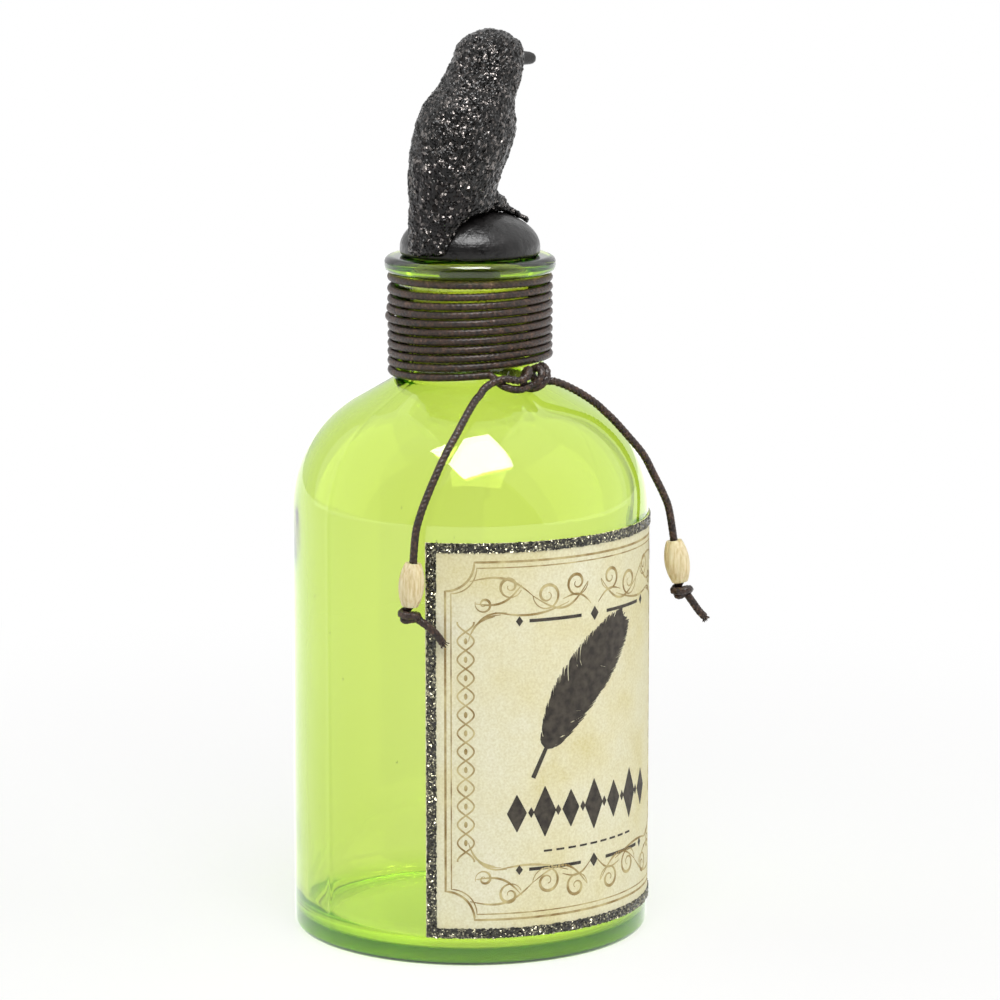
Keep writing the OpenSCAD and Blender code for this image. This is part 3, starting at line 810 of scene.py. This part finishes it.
# %% Strokes of the pen
def stroke(route, width):
    """A strip of the given width along flat points; width may be a function of the share done."""
    flat = [Vector(p) for p in route]
    strip = []
    for i, spot in enumerate(flat):
        way = flat[min(i + 1, len(flat) - 1)] - flat[max(i - 1, 0)]
        side = Vector((-way.y, way.x)).normalized()
        half = (width(i / (len(flat) - 1)) if callable(width) else width) / 2
        strip.append((tuple(spot + side * half), tuple(spot - side * half)))
    return strip


def volute(x, z, r, turns, start, hand, thick=0.5):
    """A scroll that winds in from radius r to its eye."""
    steps = int(40 * turns)
    route = []
    for i in range(steps + 1):
        t = i / steps
        angle = start + hand * math.tau * turns * t
        now = r * (1 - 0.86 * t)
        route.append((x + now * math.cos(angle), z + now * math.sin(angle)))
    return stroke(route, lambda t: thick * (0.45 + 1.1 * math.sin(math.pi * min(1, t * 1.1)) ** 2))


def bow(start, end, rise, thick=0.45, steps=24):
    """A line that bows out to one side."""
    a, b = Vector(start), Vector(end)
    side = Vector((-(b - a).y, (b - a).x)).normalized()
    route = [a.lerp(b, i / steps) + side * rise * math.sin(math.pi * i / steps)
             for i in range(steps + 1)]
    return stroke(route, lambda t: thick * (0.35 + 0.9 * math.sin(math.pi * t)))


def mirrored(strips, flip_s, flip_z):
    """The same strips turned over: flip_s is -1 to swap left and right, flip_z top and bottom."""
    def over(spot):
        return (flip_s * spot[0], LABEL_MID + flip_z * (spot[1] - LABEL_MID))

    return [[(over(right), over(left)) for left, right in strip] for strip in strips]


# %% [markdown]
# ## The frame of the print
#
# The frame is the same in all four quarters of the label, so only one quarter is drawn: two rules,
# a ribbon of crossing waves and a group of scrolls. Mirroring it twice gives the rest, as a
# printer would turn one block over.

# %% Scooped rules and ribbon
RULE_INSETS = (4.6, 6.0)
SCOOP_R = 7.0
RIBBON_S, RIBBON_R, RIBBON_WAVE = 34.0, 2.0, 9.0


def scooped_rule(inset, thick):
    """One rule round the label whose corners are scooped inwards."""
    half, top = LABEL_HALF - inset, LABEL_TOP - inset
    scoop = SCOOP_R - (inset - RULE_INSETS[0]) * 0.6
    side = [(half, LABEL_MID + (top - scoop - LABEL_MID) * i / 20) for i in range(20)]
    across = [(half - scoop - (half - scoop) * i / 24, top) for i in range(1, 25)]
    corner = [(half - scoop * math.sin(a), top - scoop * math.cos(a))
              for a in (math.pi / 2 * i / 14 for i in range(15))]
    return [stroke(side + corner + across, thick)]


def twisted_ribbon():
    """Two waves that cross each other down the side, with a bead in each eye."""
    top = LABEL_TOP - 19.0
    span = top - LABEL_MID
    strips = []
    for hand in (-1, 1):
        route = [(RIBBON_S + hand * RIBBON_R * math.sin(math.tau * span * i / 90 / RIBBON_WAVE),
                  LABEL_MID + span * i / 90) for i in range(91)]
        strips.append(stroke(route, 0.42))
    eyes = int(span / (RIBBON_WAVE / 2))
    for i in range(eyes):
        z = LABEL_MID + RIBBON_WAVE / 4 + i * RIBBON_WAVE / 2
        strips.append(stroke([(RIBBON_S, z - 0.75), (RIBBON_S, z - 0.3), (RIBBON_S, z + 0.3),
                              (RIBBON_S, z + 0.75)],
                             lambda t: 0.9 * math.sin(math.pi * (0.12 + 0.76 * t))))
    return strips


# %% Scrolls along the top
def top_scrolls():
    """Half of the paired scrolls along the top."""
    top = LABEL_TOP - 12.2
    strips = [volute(5.6, top + 1.2, 3.4, 1.6, math.pi, 1),
              volute(13.8, top - 1.0, 3.8, 1.7, 0, -1),
              volute(23.4, top + 1.6, 3.0, 1.5, math.pi * 1.1, 1),
              volute(29.6, top - 2.6, 2.2, 1.4, 0.3, -1, 0.4)]
    strips += [bow((2.2, top + 1.2), (17.6, top - 1.0), -4.6),
               bow((17.6, top - 1.0), (33, top + 3), 2.6),
               bow((20.4, top + 1.9), (31.8, top - 2.4), -2.2),
               bow((8, top - 3.2), (27, top - 4.6), -1.6),
               bow((1.2, top - 4.4), (9.6, top - 2.4), 1.8, 0.4)]
    strips += [bow((24 + 1.5 * i, top - 4.8 - 0.4 * i), (32.4 + 0.5 * i, top - 8.8 - 1.4 * i),
                   1.6, 0.36) for i in range(3)]
    return strips


# %% Four quarters of the frame
quarter = [scooped_rule(inset, thick)[0] for inset, thick in zip(RULE_INSETS, (0.55, 0.3))]
quarter += twisted_ribbon() + top_scrolls()
half_label = quarter + mirrored(quarter, -1, 1)
sepia = half_label + mirrored(half_label, 1, -1)
piece("label_scrollwork", *inked(sepia), "bottle", SEPIA_INK, "parchment_paper", smooth=False)


# %% [markdown]
# ## The dark print
#
# Over the sepia frame the plate is printed once more in brown-black: a short rule above and
# below, a row of lozenges, and the feather. These shapes are solid ink, so each is a stroke whose
# width swells and tapers.

# %% Dark rules and lozenges
LOZENGE_Z, LOZENGE_PITCH = 38.0, 7.2
LOZENGE_SIZES, SMALL_LOZENGE = ((3.0, 6.2), (2.5, 4.6)), (0.8, 1.3)
DASH_Z, DASH_PITCH, DASH_HALF = 28.2, 3.4, 1.1
RULE_HEIGHTS = (LABEL_TOP - 19.2, LABEL_LOW + 16.6)
RULE_STOPS, RULE_END = (4.2, 11.0, 18.5), 21.0


def lozenge(s, z, half_w, half_h):
    """A filled diamond."""
    heights = (-half_h, -half_h * 0.02, half_h * 0.02, half_h)
    return stroke([(s, z + up) for up in heights],
                  lambda t: 2 * half_w * (0.03 if t in (0, 1) else 0.98))


def lozenge_row():
    """Lozenges of two sizes, evenly spaced, with short dashes under them."""
    strips = [lozenge(LOZENGE_PITCH * i, LOZENGE_Z, *LOZENGE_SIZES[i % 2]) for i in range(-3, 4)]
    strips += [lozenge(LOZENGE_PITCH * (i + 0.5), LOZENGE_Z, *SMALL_LOZENGE) for i in range(-3, 3)]
    strips += [stroke([(DASH_PITCH * i + way * DASH_HALF, DASH_Z) for way in (-1, 0, 1)], 0.5)
               for i in range(-4, 5)]
    return strips


def broken_rules():
    """A dark rule above and below, each open in the middle round a small lozenge."""
    strips = []
    for z in RULE_HEIGHTS:
        for hand in (-1, 1):
            strips.append(stroke([(hand * s, z) for s in RULE_STOPS], 0.8))
            strips.append(lozenge(hand * RULE_END, z, 0.9, 1.2))
        strips.append(lozenge(0, z, 1.3, 1.7))
    return strips


piece("label_rules", *inked(lozenge_row() + broken_rules()), "bottle", DARK_INK,
      "parchment_paper", smooth=False)

# %% Quill feather
QUILL_FOOT, QUILL_TIP, QUILL_BOW = Vector((-17.5, 46.5)), Vector((13.0, 82.5)), 4.6
BARBS, BARB_W, BARB_LEAN = 120, 0.52, 0.85
SPLIT_CHANCE = 0.06


def quill(seed):
    """A feather: a bowed shaft, and close barbs on each side that swell, taper and split."""
    rng = random.Random(seed)
    span = QUILL_TIP - QUILL_FOOT
    side = Vector((-span.y, span.x)).normalized()

    def shaft(t):
        return QUILL_FOOT + span * t + side * QUILL_BOW * math.sin(math.pi * t * 0.9)

    strips = [stroke([shaft(i / 40) for i in range(41)], lambda t: 1.15 - 0.95 * t)]
    for hand, widest in ((1, 6.0), (-1, 8.2)):
        split, drift = 0, 0.0
        for i in range(BARBS):
            t = 0.16 + 0.82 * i / BARBS
            if split <= 0 and rng.random() < SPLIT_CHANCE:
                split, drift = rng.randint(2, 3), rng.uniform(0.25, 0.5)
            split -= 1
            swell = math.sin(math.pi * min(1, (t - 0.12) / 0.9) ** 0.8) ** 0.6
            reach = widest * swell * rng.uniform(0.93, 1.04) * (1 - (drift if split > 0 else 0))
            way = (shaft(min(1, t + 0.02)) - shaft(t - 0.02)).normalized()
            out = Vector((-way.y, way.x)) * hand
            root = shaft(t)
            tip = root + out * reach + way * reach * BARB_LEAN
            bend = root + out * reach * 0.6 + way * reach * 0.3
            route = [root, root.lerp(bend, 0.5), bend, bend.lerp(tip, 0.5) + out * 0.15, tip]
            strips.append(stroke(route, lambda u: BARB_W * (1 - 0.75 * u**3)))
    return strips


piece("label_quill", *inked(quill(seed=3)), "bottle", DARK_INK, "parchment_paper", smooth=False)

# %% [markdown]
# ## Black glitter
#
# The border and the bird are brushed with glue and dusted with black glitter: flakes of coated
# film that lie at every angle, 0.4 mm across on the border and 0.6 mm on the bird. Most look
# nearly black, and the few that face a lamp flash white. Flat facets in the mesh do part of this.
# In the shader a cell pattern gives each flake its own tilt, tone and share of metal.

# %% Glitter material
def black_glitter(name, flake, tones, tilt, rough, shine_from, gloss):
    material, tree, out = new_material(name)
    place = add(tree, "ShaderNodeTexCoord").outputs["Object"]
    flakes = add(tree, "ShaderNodeTexVoronoi", {"Vector": place, "Scale": per_metre(flake)})
    lean = add(tree, "ShaderNodeVectorMath",
               {0: flakes.outputs["Color"], 1: (0.5, 0.5, 0.5)}, operation="SUBTRACT")
    lean = add(tree, "ShaderNodeVectorMath", {0: lean.outputs[0], "Scale": tilt}, operation="SCALE")
    flat = add(tree, "ShaderNodeNewGeometry").outputs["Normal"]
    normal = add(tree, "ShaderNodeVectorMath", {0: flat, 1: lean.outputs[0]}, operation="ADD")
    normal = add(tree, "ShaderNodeVectorMath", {0: normal.outputs[0]}, operation="NORMALIZE")
    pick = add(tree, "ShaderNodeSeparateColor", {0: flakes.outputs["Color"]}).outputs["Blue"]
    tone = add(tree, "ShaderNodeValToRGB", {0: pick}, tones)
    shine = add(tree, "ShaderNodeMapRange",
                {"Value": pick, "From Min": shine_from, "To Min": 0.0, "To Max": 0.9})
    skin = add(tree, "ShaderNodeBsdfPrincipled",
               {"Base Color": tone.outputs["Color"], "Metallic": shine.outputs["Result"],
                "Roughness": rough, "Specular IOR Level": gloss, "Normal": normal.outputs[0]})
    tree.links.new(skin.outputs["BSDF"], out.inputs["Surface"])
    return material


BIRD_GLITTER = black_glitter(
    "black glitter on resin", flake=0.62 * MM, tilt=0.5, rough=0.16, shine_from=0.55, gloss=0.2,
    tones=[(0.0, "020202"), (0.6, "0F0D0C"), (0.8, "211E1C"), (1.0, "6E6966")])
BORDER_GLITTER = black_glitter(
    "black glitter on paper", flake=0.4 * MM, tilt=1.2, rough=0.25, shine_from=0.0, gloss=0.5,
    tones=[(0.0, "12110E"), (0.6, "34332A"), (1.0, "A6A289")])

# %% [markdown]
# ## The border of the label
#
# The border is a strip of glue with glitter on it, so it is a thin crust and not a flat print: its
# face is a grid about as fine as the flakes, with every point shifted and raised at random, and
# with its squares split one way or the other.

# %% Glittered border of the label
BORDER_W = 2.4
GRAIN = 0.4
GRAIN_SHIFT = 0.16
BORDER_T = 0.3 * MM


def glitter_border(seed):
    """A crust of grains round the label: a grid whose points are shifted and raised at random."""
    rng = random.Random(seed)
    columns = round(2 * LABEL_HALF / GRAIN)
    rows = round((LABEL_TOP - LABEL_LOW) / GRAIN)
    deep = round(BORDER_W / GRAIN)
    step_s, step_z = 2 * LABEL_HALF / columns, (LABEL_TOP - LABEL_LOW) / rows

    def kept(i, j):
        inside = deep <= i < columns - deep and deep <= j < rows - deep
        return 0 <= i < columns and 0 <= j < rows and not inside

    index, points, faces = {}, [], []

    def corner(i, j):
        if (i, j) not in index:
            index[i, j] = len(points)
            s = -LABEL_HALF + i * step_s + rng.uniform(-GRAIN_SHIFT, GRAIN_SHIFT)
            z = LABEL_LOW + j * step_z + rng.uniform(-GRAIN_SHIFT, GRAIN_SHIFT)
            points.append(on_label(s, z, BORDER_T * rng.uniform(0.25, 1.0)))
            points.append(on_label(s, z, -0.02 * MM))
        return index[i, j]

    for i in range(columns):
        for j in range(rows):
            if not kept(i, j):
                continue
            a, b, c, d = corner(i, j), corner(i + 1, j), corner(i + 1, j + 1), corner(i, j + 1)
            if rng.random() < 0.5:
                faces += [(a, b, c), (a, c, d)]
            else:
                faces += [(a, b, d), (b, c, d)]
            faces += [(a + 1, d + 1, c + 1, b + 1)]
            if not kept(i, j - 1):
                faces.append((a, a + 1, b + 1, b))
            if not kept(i, j + 1):
                faces.append((c, c + 1, d + 1, d))
            if not kept(i - 1, j):
                faces.append((d, d + 1, a + 1, a))
            if not kept(i + 1, j):
                faces.append((b, b + 1, c + 1, c))
    return points, faces


piece("label_border_glitter", *glitter_border(seed=21), "bottle", BORDER_GLITTER, "black_glitter",
      ["label_border"], smooth=False)

# %% [markdown]
# ## The bird
#
# The bird is cast resin under the glitter. Its construction solid has the right build but coarse
# facets, so a copy of that mesh is turned into an even skin of small faces, smoothed, given its
# folded wings, and roughened. The glue dries in lumps, which a noise raises by a few tenths of a
# millimetre, and each point moves by up to a tenth more, so that the grains lie at different
# angles. The beak is left smooth and bare, as on the piece.

# %% Bare resin material
RESIN_ROUGH = (0.24, 0.42)


def satin_resin():
    material, tree, out = new_material("satin black resin")
    place = add(tree, "ShaderNodeTexCoord").outputs["Object"]
    cloud = add(tree, "ShaderNodeTexNoise",
                {"Vector": place, "Scale": per_metre(3.8 * MM), "Detail": 5.0})
    colour = add(tree, "ShaderNodeValToRGB", {0: cloud.outputs["Fac"]},
                 [(0.3, "0C0B0B"), (0.7, "1C1A1A")])
    rough = add(tree, "ShaderNodeMapRange",
                {"Value": cloud.outputs["Fac"], "From Min": 0.3, "From Max": 0.7,
                 "To Min": RESIN_ROUGH[0], "To Max": RESIN_ROUGH[1]})
    lumps = add(tree, "ShaderNodeTexNoise",
                {"Vector": place, "Scale": per_metre(3 * MM), "Detail": 3.0})
    swell = add(tree, "ShaderNodeBump",
                {"Strength": 0.7, "Distance": 0.5 * MM, "Height": lumps.outputs["Fac"]})
    fine = add(tree, "ShaderNodeTexNoise",
               {"Vector": place, "Scale": per_metre(0.6 * MM), "Detail": 2.0})
    bump = add(tree, "ShaderNodeBump",
               {"Strength": 0.5, "Distance": 0.08 * MM, "Height": fine.outputs["Fac"],
                "Normal": swell.outputs["Normal"]})
    skin = add(tree, "ShaderNodeBsdfPrincipled",
               {"Base Color": colour.outputs["Color"], "Roughness": rough.outputs["Result"],
                "Specular IOR Level": 0.28, "Normal": bump.outputs["Normal"]})
    tree.links.new(skin.outputs["BSDF"], out.inputs["Surface"])
    return material


BLACK_RESIN = satin_resin()
for node in ("perch_mound", "stopper_dowel"):
    dress(node, BLACK_RESIN)


# %% Even skin
def even_skin(node, name, voxel, rounds):
    """A copy of a node's mesh as an even, smoothed skin of small faces."""
    copy = bpy.data.objects.new(name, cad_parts[node].data.copy())
    bpy.context.scene.collection.objects.link(copy)
    remesh = copy.modifiers.new("even", "REMESH")
    remesh.mode, remesh.voxel_size = "VOXEL", voxel
    relax = copy.modifiers.new("relax", "SMOOTH")
    relax.factor, relax.iterations = 0.5, rounds
    graph = bpy.context.evaluated_depsgraph_get()
    mesh = bpy.data.meshes.new_from_object(copy.evaluated_get(graph))
    points = [v.co.copy() for v in mesh.vertices]
    normals = [v.normal.copy() for v in mesh.vertices]
    faces = [tuple(p.vertices) for p in mesh.polygons]
    bpy.data.objects.remove(copy)
    bpy.data.meshes.remove(mesh)
    return points, normals, faces


# %% Bird figure
BIRD_FACING = math.radians(10)
SKIN_VOXEL, SKIN_ROUNDS = 0.5 * MM, 6
GRAIN_PUSH, LUMP_PUSH, LUMP_SINK = 0.12 * MM, 0.42 * MM, 0.6
LUMPS_PER_M, FINE_LUMPS_PER_M, FINE_LUMP_SHARE = 420, 1100, 0.55
BEAK_L, BEAK_UP = 6.2 * MM, 0.78
WING_T, WING_FRONT, WING_BELLY = (x * MM for x in (0.35, 4, 6))
WING_IN, WING_SIDE, WING_EDGE = (x * MM for x in (2, 4, 1))
WING_LOW, WING_TOP = 0.12, 0.74


def held(share):
    """A share held between 0 and 1."""
    return min(1, max(0, share))


def bird(seed):
    """The glittered skin, with the wings raised and the beak left bare."""
    rng = random.Random(seed)
    low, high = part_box("bird_figure")
    points, normals, faces = even_skin("bird_figure", "bird_copy", SKIN_VOXEL, SKIN_ROUNDS)
    back = Matrix.Rotation(-BIRD_FACING, 3, "Z")
    tall = high.z - low.z
    beak_x = (back @ Vector((high.x, 0, 0))).x - BEAK_L

    def bare(p):
        """True on the beak, which has no glitter."""
        q = back @ p
        return q.x > beak_x and p.z > low.z + BEAK_UP * tall

    def on_wing(p):
        """1 on the folded wings, from shoulder to tail, falling to 0 at their edges."""
        q = back @ p
        share = (p.z - low.z) / tall
        front = WING_FRONT + WING_BELLY * math.sin(math.pi * held((share - 0.15) / 0.6))
        return (held((front - q.x) / WING_EDGE) * held((WING_TOP - share) / 0.03)
                * held((share - WING_LOW) / 0.1) * held((abs(q.y) - WING_IN) / WING_SIDE))

    placed = []
    for p, n in zip(points, normals):
        lump = noise.noise(p * LUMPS_PER_M) + FINE_LUMP_SHARE * noise.noise(p * FINE_LUMPS_PER_M)
        push = LUMP_PUSH * (lump - LUMP_SINK) + rng.uniform(-GRAIN_PUSH, GRAIN_PUSH)
        push = 0.0 if bare(p) else push
        placed.append(p + n * (push + WING_T * on_wing(p)))
    made = piece("bird_glittered", placed, faces, "bird", BIRD_GLITTER, "black_glitter",
                 ["bird_figure"], smooth=False)
    made.data.materials.append(BLACK_RESIN)
    for face in made.data.polygons:
        if bare(face.center):
            face.material_index = 1
            face.use_smooth = True


bird(seed=8)

# %% [markdown]
# ## Beads and cork
#
# The beads are turned from a pale, close-grained wood such as beech and left bare. The grain runs
# along the bead, in streaks about 0.7 mm apart. The cork is natural bark, bleached pale, with dark
# pores about 0.5 mm across and 1.5 mm apart.

# %% Turned wood
GRAIN_STRETCH = 0.12


def turned_wood():
    material, tree, out = new_material("bare turned beech")
    place = add(tree, "ShaderNodeTexCoord").outputs["Object"]
    along = add(tree, "ShaderNodeMapping", {"Vector": place, "Scale": (1.0, 1.0, GRAIN_STRETCH)})
    grain = add(tree, "ShaderNodeTexNoise",
                {"Vector": along.outputs[0], "Scale": per_metre(0.7 * MM), "Detail": 4.0,
                 "Roughness": 0.6})
    colour = add(tree, "ShaderNodeValToRGB", {0: grain.outputs["Fac"]},
                 [(0.3, "BDA571"), (0.5, "D8C89D"), (0.7, "E6DBBB")])
    bump = add(tree, "ShaderNodeBump",
               {"Strength": 0.25, "Distance": 0.05 * MM, "Height": grain.outputs["Fac"]})
    skin = add(tree, "ShaderNodeBsdfPrincipled",
               {"Base Color": colour.outputs["Color"], "Roughness": 0.5, "Specular IOR Level": 0.4,
                "Subsurface Weight": 0.08, "Subsurface Scale": 0.6 * MM,
                "Normal": bump.outputs["Normal"]})
    tree.links.new(skin.outputs["BSDF"], out.inputs["Surface"])
    return material


WOOD = turned_wood()
for node in ("bead_left", "bead_right"):
    dress(node, WOOD)


# %% Cork
def natural_cork():
    material, tree, out = new_material("natural cork")
    place = add(tree, "ShaderNodeTexCoord").outputs["Object"]
    tone = add(tree, "ShaderNodeTexNoise",
               {"Vector": place, "Scale": per_metre(2 * MM), "Detail": 6.0})
    pores = add(tree, "ShaderNodeTexVoronoi", {"Vector": place, "Scale": per_metre(1.5 * MM)})
    bark = add(tree, "ShaderNodeValToRGB", {0: tone.outputs["Fac"]},
               [(0.3, "CDB88E"), (0.5, "DCCBA6"), (0.7, "E8DBBD")])
    pit = add(tree, "ShaderNodeValToRGB", {0: pores.outputs["Distance"]},
              [(0.08, "8A6A48"), (0.22, "FFFFFF")])
    colour = add(tree, "ShaderNodeMix",
                 {"Factor": 1.0, MIX_A: bark.outputs["Color"], MIX_B: pit.outputs["Color"]},
                 data_type="RGBA", blend_type="MULTIPLY")
    bump = add(tree, "ShaderNodeBump",
               {"Strength": 0.5, "Distance": 0.2 * MM, "Height": pores.outputs["Distance"]})
    skin = add(tree, "ShaderNodeBsdfPrincipled",
               {"Base Color": colour.outputs[MIXED], "Roughness": 0.85, "Specular IOR Level": 0.2,
                "Normal": bump.outputs["Normal"]})
    tree.links.new(skin.outputs["BSDF"], out.inputs["Surface"])
    return material


dress("cork_plug", natural_cork())

# %% [markdown]
# ## The floor
#
# The floor is a pale sweep of even white, so that no edge of it shows. Close to the bottle a matte
# surface shows through the white and holds a soft shadow. Reflections see the white brighter,
# like a lit table.

# %% Floor
FLOOR_HALF = 30.0
SHADOW_R, WHITE_R = 0.12, 0.4
NEAR_SHARE = 0.72
FLOOR_GLOW = 1.8


def pale_floor():
    material, tree, out = new_material("pale sweep")
    place = add(tree, "ShaderNodeNewGeometry").outputs["Position"]
    away = add(tree, "ShaderNodeVectorMath", {0: place}, operation="LENGTH").outputs["Value"]
    far = add(tree, "ShaderNodeMapRange",
              {"Value": away, "From Min": SHADOW_R, "From Max": WHITE_R, "To Min": NEAR_SHARE},
              interpolation_type="SMOOTHSTEP").outputs["Result"]
    path = add(tree, "ShaderNodeLightPath")
    straight = add(tree, "ShaderNodeMath", {0: path.outputs["Is Camera Ray"],
                                            1: path.outputs["Is Transmission Ray"]},
                   operation="MAXIMUM")
    seen = add(tree, "ShaderNodeMath", {0: straight.outputs[0],
                                        1: path.outputs["Is Glossy Ray"]}, operation="MAXIMUM")
    share = add(tree, "ShaderNodeMath", {0: far, 1: seen.outputs[0]}, operation="MULTIPLY")
    glow = add(tree, "ShaderNodeMapRange", {"Value": straight.outputs[0], "To Min": FLOOR_GLOW,
                                            "To Max": 1.0})
    matte = add(tree, "ShaderNodeBsdfDiffuse", {"Color": linear("F4F4F2")})
    white = add(tree, "ShaderNodeEmission",
                {"Color": linear("FFFFFF"), "Strength": glow.outputs["Result"]})
    surface = add(tree, "ShaderNodeMixShader", {0: share.outputs[0], 1: matte.outputs["BSDF"],
                                                2: white.outputs["Emission"]})
    tree.links.new(surface.outputs["Shader"], out.inputs["Surface"])
    return material


floor_mesh = bpy.data.meshes.new("floor")
floor_mesh.from_pydata([(x * FLOOR_HALF, y * FLOOR_HALF, 0)
                        for x, y in ((-1, -1), (1, -1), (1, 1), (-1, 1))], [], [(0, 1, 2, 3)])
floor_mesh.materials.append(pale_floor())
floor = bpy.data.objects.new("floor", floor_mesh)
bpy.context.scene.collection.objects.link(floor)

# %% [markdown]
# ## The room
#
# The room is an even white that fills the view. It lights the bottle only a little, because the
# lamps do that. Reflections see the room as well, but dim on the side that the label is seen
# from, like a dark cloth hung there, which keeps the middle of the glass clear.

# %% World
ROOM_LIGHT, FRONT_GLOW, FRONT_FULL = 0.28, 0.12, 0.75


def white_world():
    world = bpy.data.worlds.new("white room")
    bpy.context.scene.world = world
    world.use_nodes = True
    tree = world.node_tree
    tree.nodes.clear()
    path = add(tree, "ShaderNodeLightPath")
    way = add(tree, "ShaderNodeTexCoord").outputs["Generated"]
    front = add(tree, "ShaderNodeVectorMath", {0: way, 1: tuple(toward_camera)},
                operation="DOT_PRODUCT").outputs["Value"]
    dim = add(tree, "ShaderNodeMapRange",
              {"Value": front, "From Min": 0.0, "From Max": FRONT_FULL, "To Min": 1.0,
               "To Max": FRONT_GLOW}, interpolation_type="SMOOTHSTEP")
    unseen = add(tree, "ShaderNodeMapRange",
                 {"Value": path.outputs["Is Glossy Ray"], "To Min": ROOM_LIGHT,
                  "To Max": dim.outputs["Result"]})
    seen = add(tree, "ShaderNodeMath", {0: path.outputs["Is Camera Ray"],
                                        1: path.outputs["Is Transmission Ray"]},
               operation="MAXIMUM")
    strength = add(tree, "ShaderNodeMapRange",
                   {"Value": seen.outputs[0], "To Min": unseen.outputs["Result"],
                    "To Max": 1.0})
    sky = add(tree, "ShaderNodeBackground", {"Color": linear("FFFFFF"),
                                             "Strength": strength.outputs["Result"]})
    end = add(tree, "ShaderNodeOutputWorld")
    tree.links.new(sky.outputs["Background"], end.inputs["Surface"])
    print(f"room: gives {ROOM_LIGHT} of white light, {FRONT_GLOW} in front for reflections")


white_world()

# %% [markdown]
# ## The lamps
#
# One large soft lamp, the key, hangs in front and above, and a dimmer panel stands at each side.
# Each of them has a twin that matte surfaces don't see, a little nearer to the bottle, so the
# light on the paper and the mirror images in the glass can be set apart. The key's twin is the
# white patch on the shoulder and the sparkle on the glitter.

# %% Lamps
LAMP_AIM = Vector((0, 0, 0.11))
# Turn and height in degrees, then distance, width and height in metres, radiance and roll
LAMPS = {"key": (8, 56, 1.4, 0.85, 1.0, 5.8, -8), "left_panel": (-100, 28, 1.6, 1.6, 1.7, 1.1, 0),
         "right_panel": (80, 24, 1.6, 1.3, 1.6, 1.3, 0)}
TWINS = {"key": (5, 65, 1.36, 0.8, 0.86, 17.0, 24), "left_panel": (-80, 36, 1.5, 3.1, 2.4, 0.6, 0),
         "right_panel": (84, 36, 1.5, 2.8, 2.4, 0.65, 0)}


def direction(turn, up):
    """A direction in degrees, turned to the right of the camera's side and raised."""
    a, e = math.radians(turn), math.radians(up)
    level = toward_camera * math.cos(a) + camera_right * math.sin(a)
    return level * math.cos(e) + Vector((0, 0, math.sin(e)))


def soft_lamp(name, turn, up, distance, width, height, radiance, roll):
    """A rectangular soft lamp that faces the bottle. radiance 1 looks as bright as white paper."""
    data = bpy.data.lights.new(name, "AREA")
    data.shape, data.size, data.size_y = "RECTANGLE", width, height
    data.energy = radiance * math.pi * width * height
    made = bpy.data.objects.new(name, data)
    way = direction(turn, up)
    made.location = way * distance + LAMP_AIM
    made.rotation_mode = "QUATERNION"
    made.rotation_quaternion = (way.to_track_quat("Z", "Y")
                                @ Matrix.Rotation(math.radians(roll), 3, "Z").to_quaternion())
    bpy.context.scene.collection.objects.link(made)
    print(f"{name}: {data.energy:.1f} W, {distance} m away")
    return made


for name in LAMPS:
    soft_lamp(name, *LAMPS[name]).visible_glossy = False
    soft_lamp(name + "_in_reflections", *TWINS[name]).visible_diffuse = False

# %% [markdown]
# ## Light paths and colour
#
# A ray that enters the bottle crosses four glass faces or more on its way out, and it splits in
# reflections at each, so the paths are allowed more bounces than usual. The Standard view shows
# each colour as it was written.

# %% Bounces and view
THROUGH_GLASS, IN_REFLECTIONS = 24, 12
cycles = bpy.context.scene.cycles
cycles.max_bounces = cycles.transmission_bounces = THROUGH_GLASS
cycles.glossy_bounces, cycles.transparent_max_bounces = IN_REFLECTIONS, THROUGH_GLASS
bpy.context.scene.view_settings.view_transform = "Standard"
print(f"paths of up to {THROUGH_GLASS} bounces")
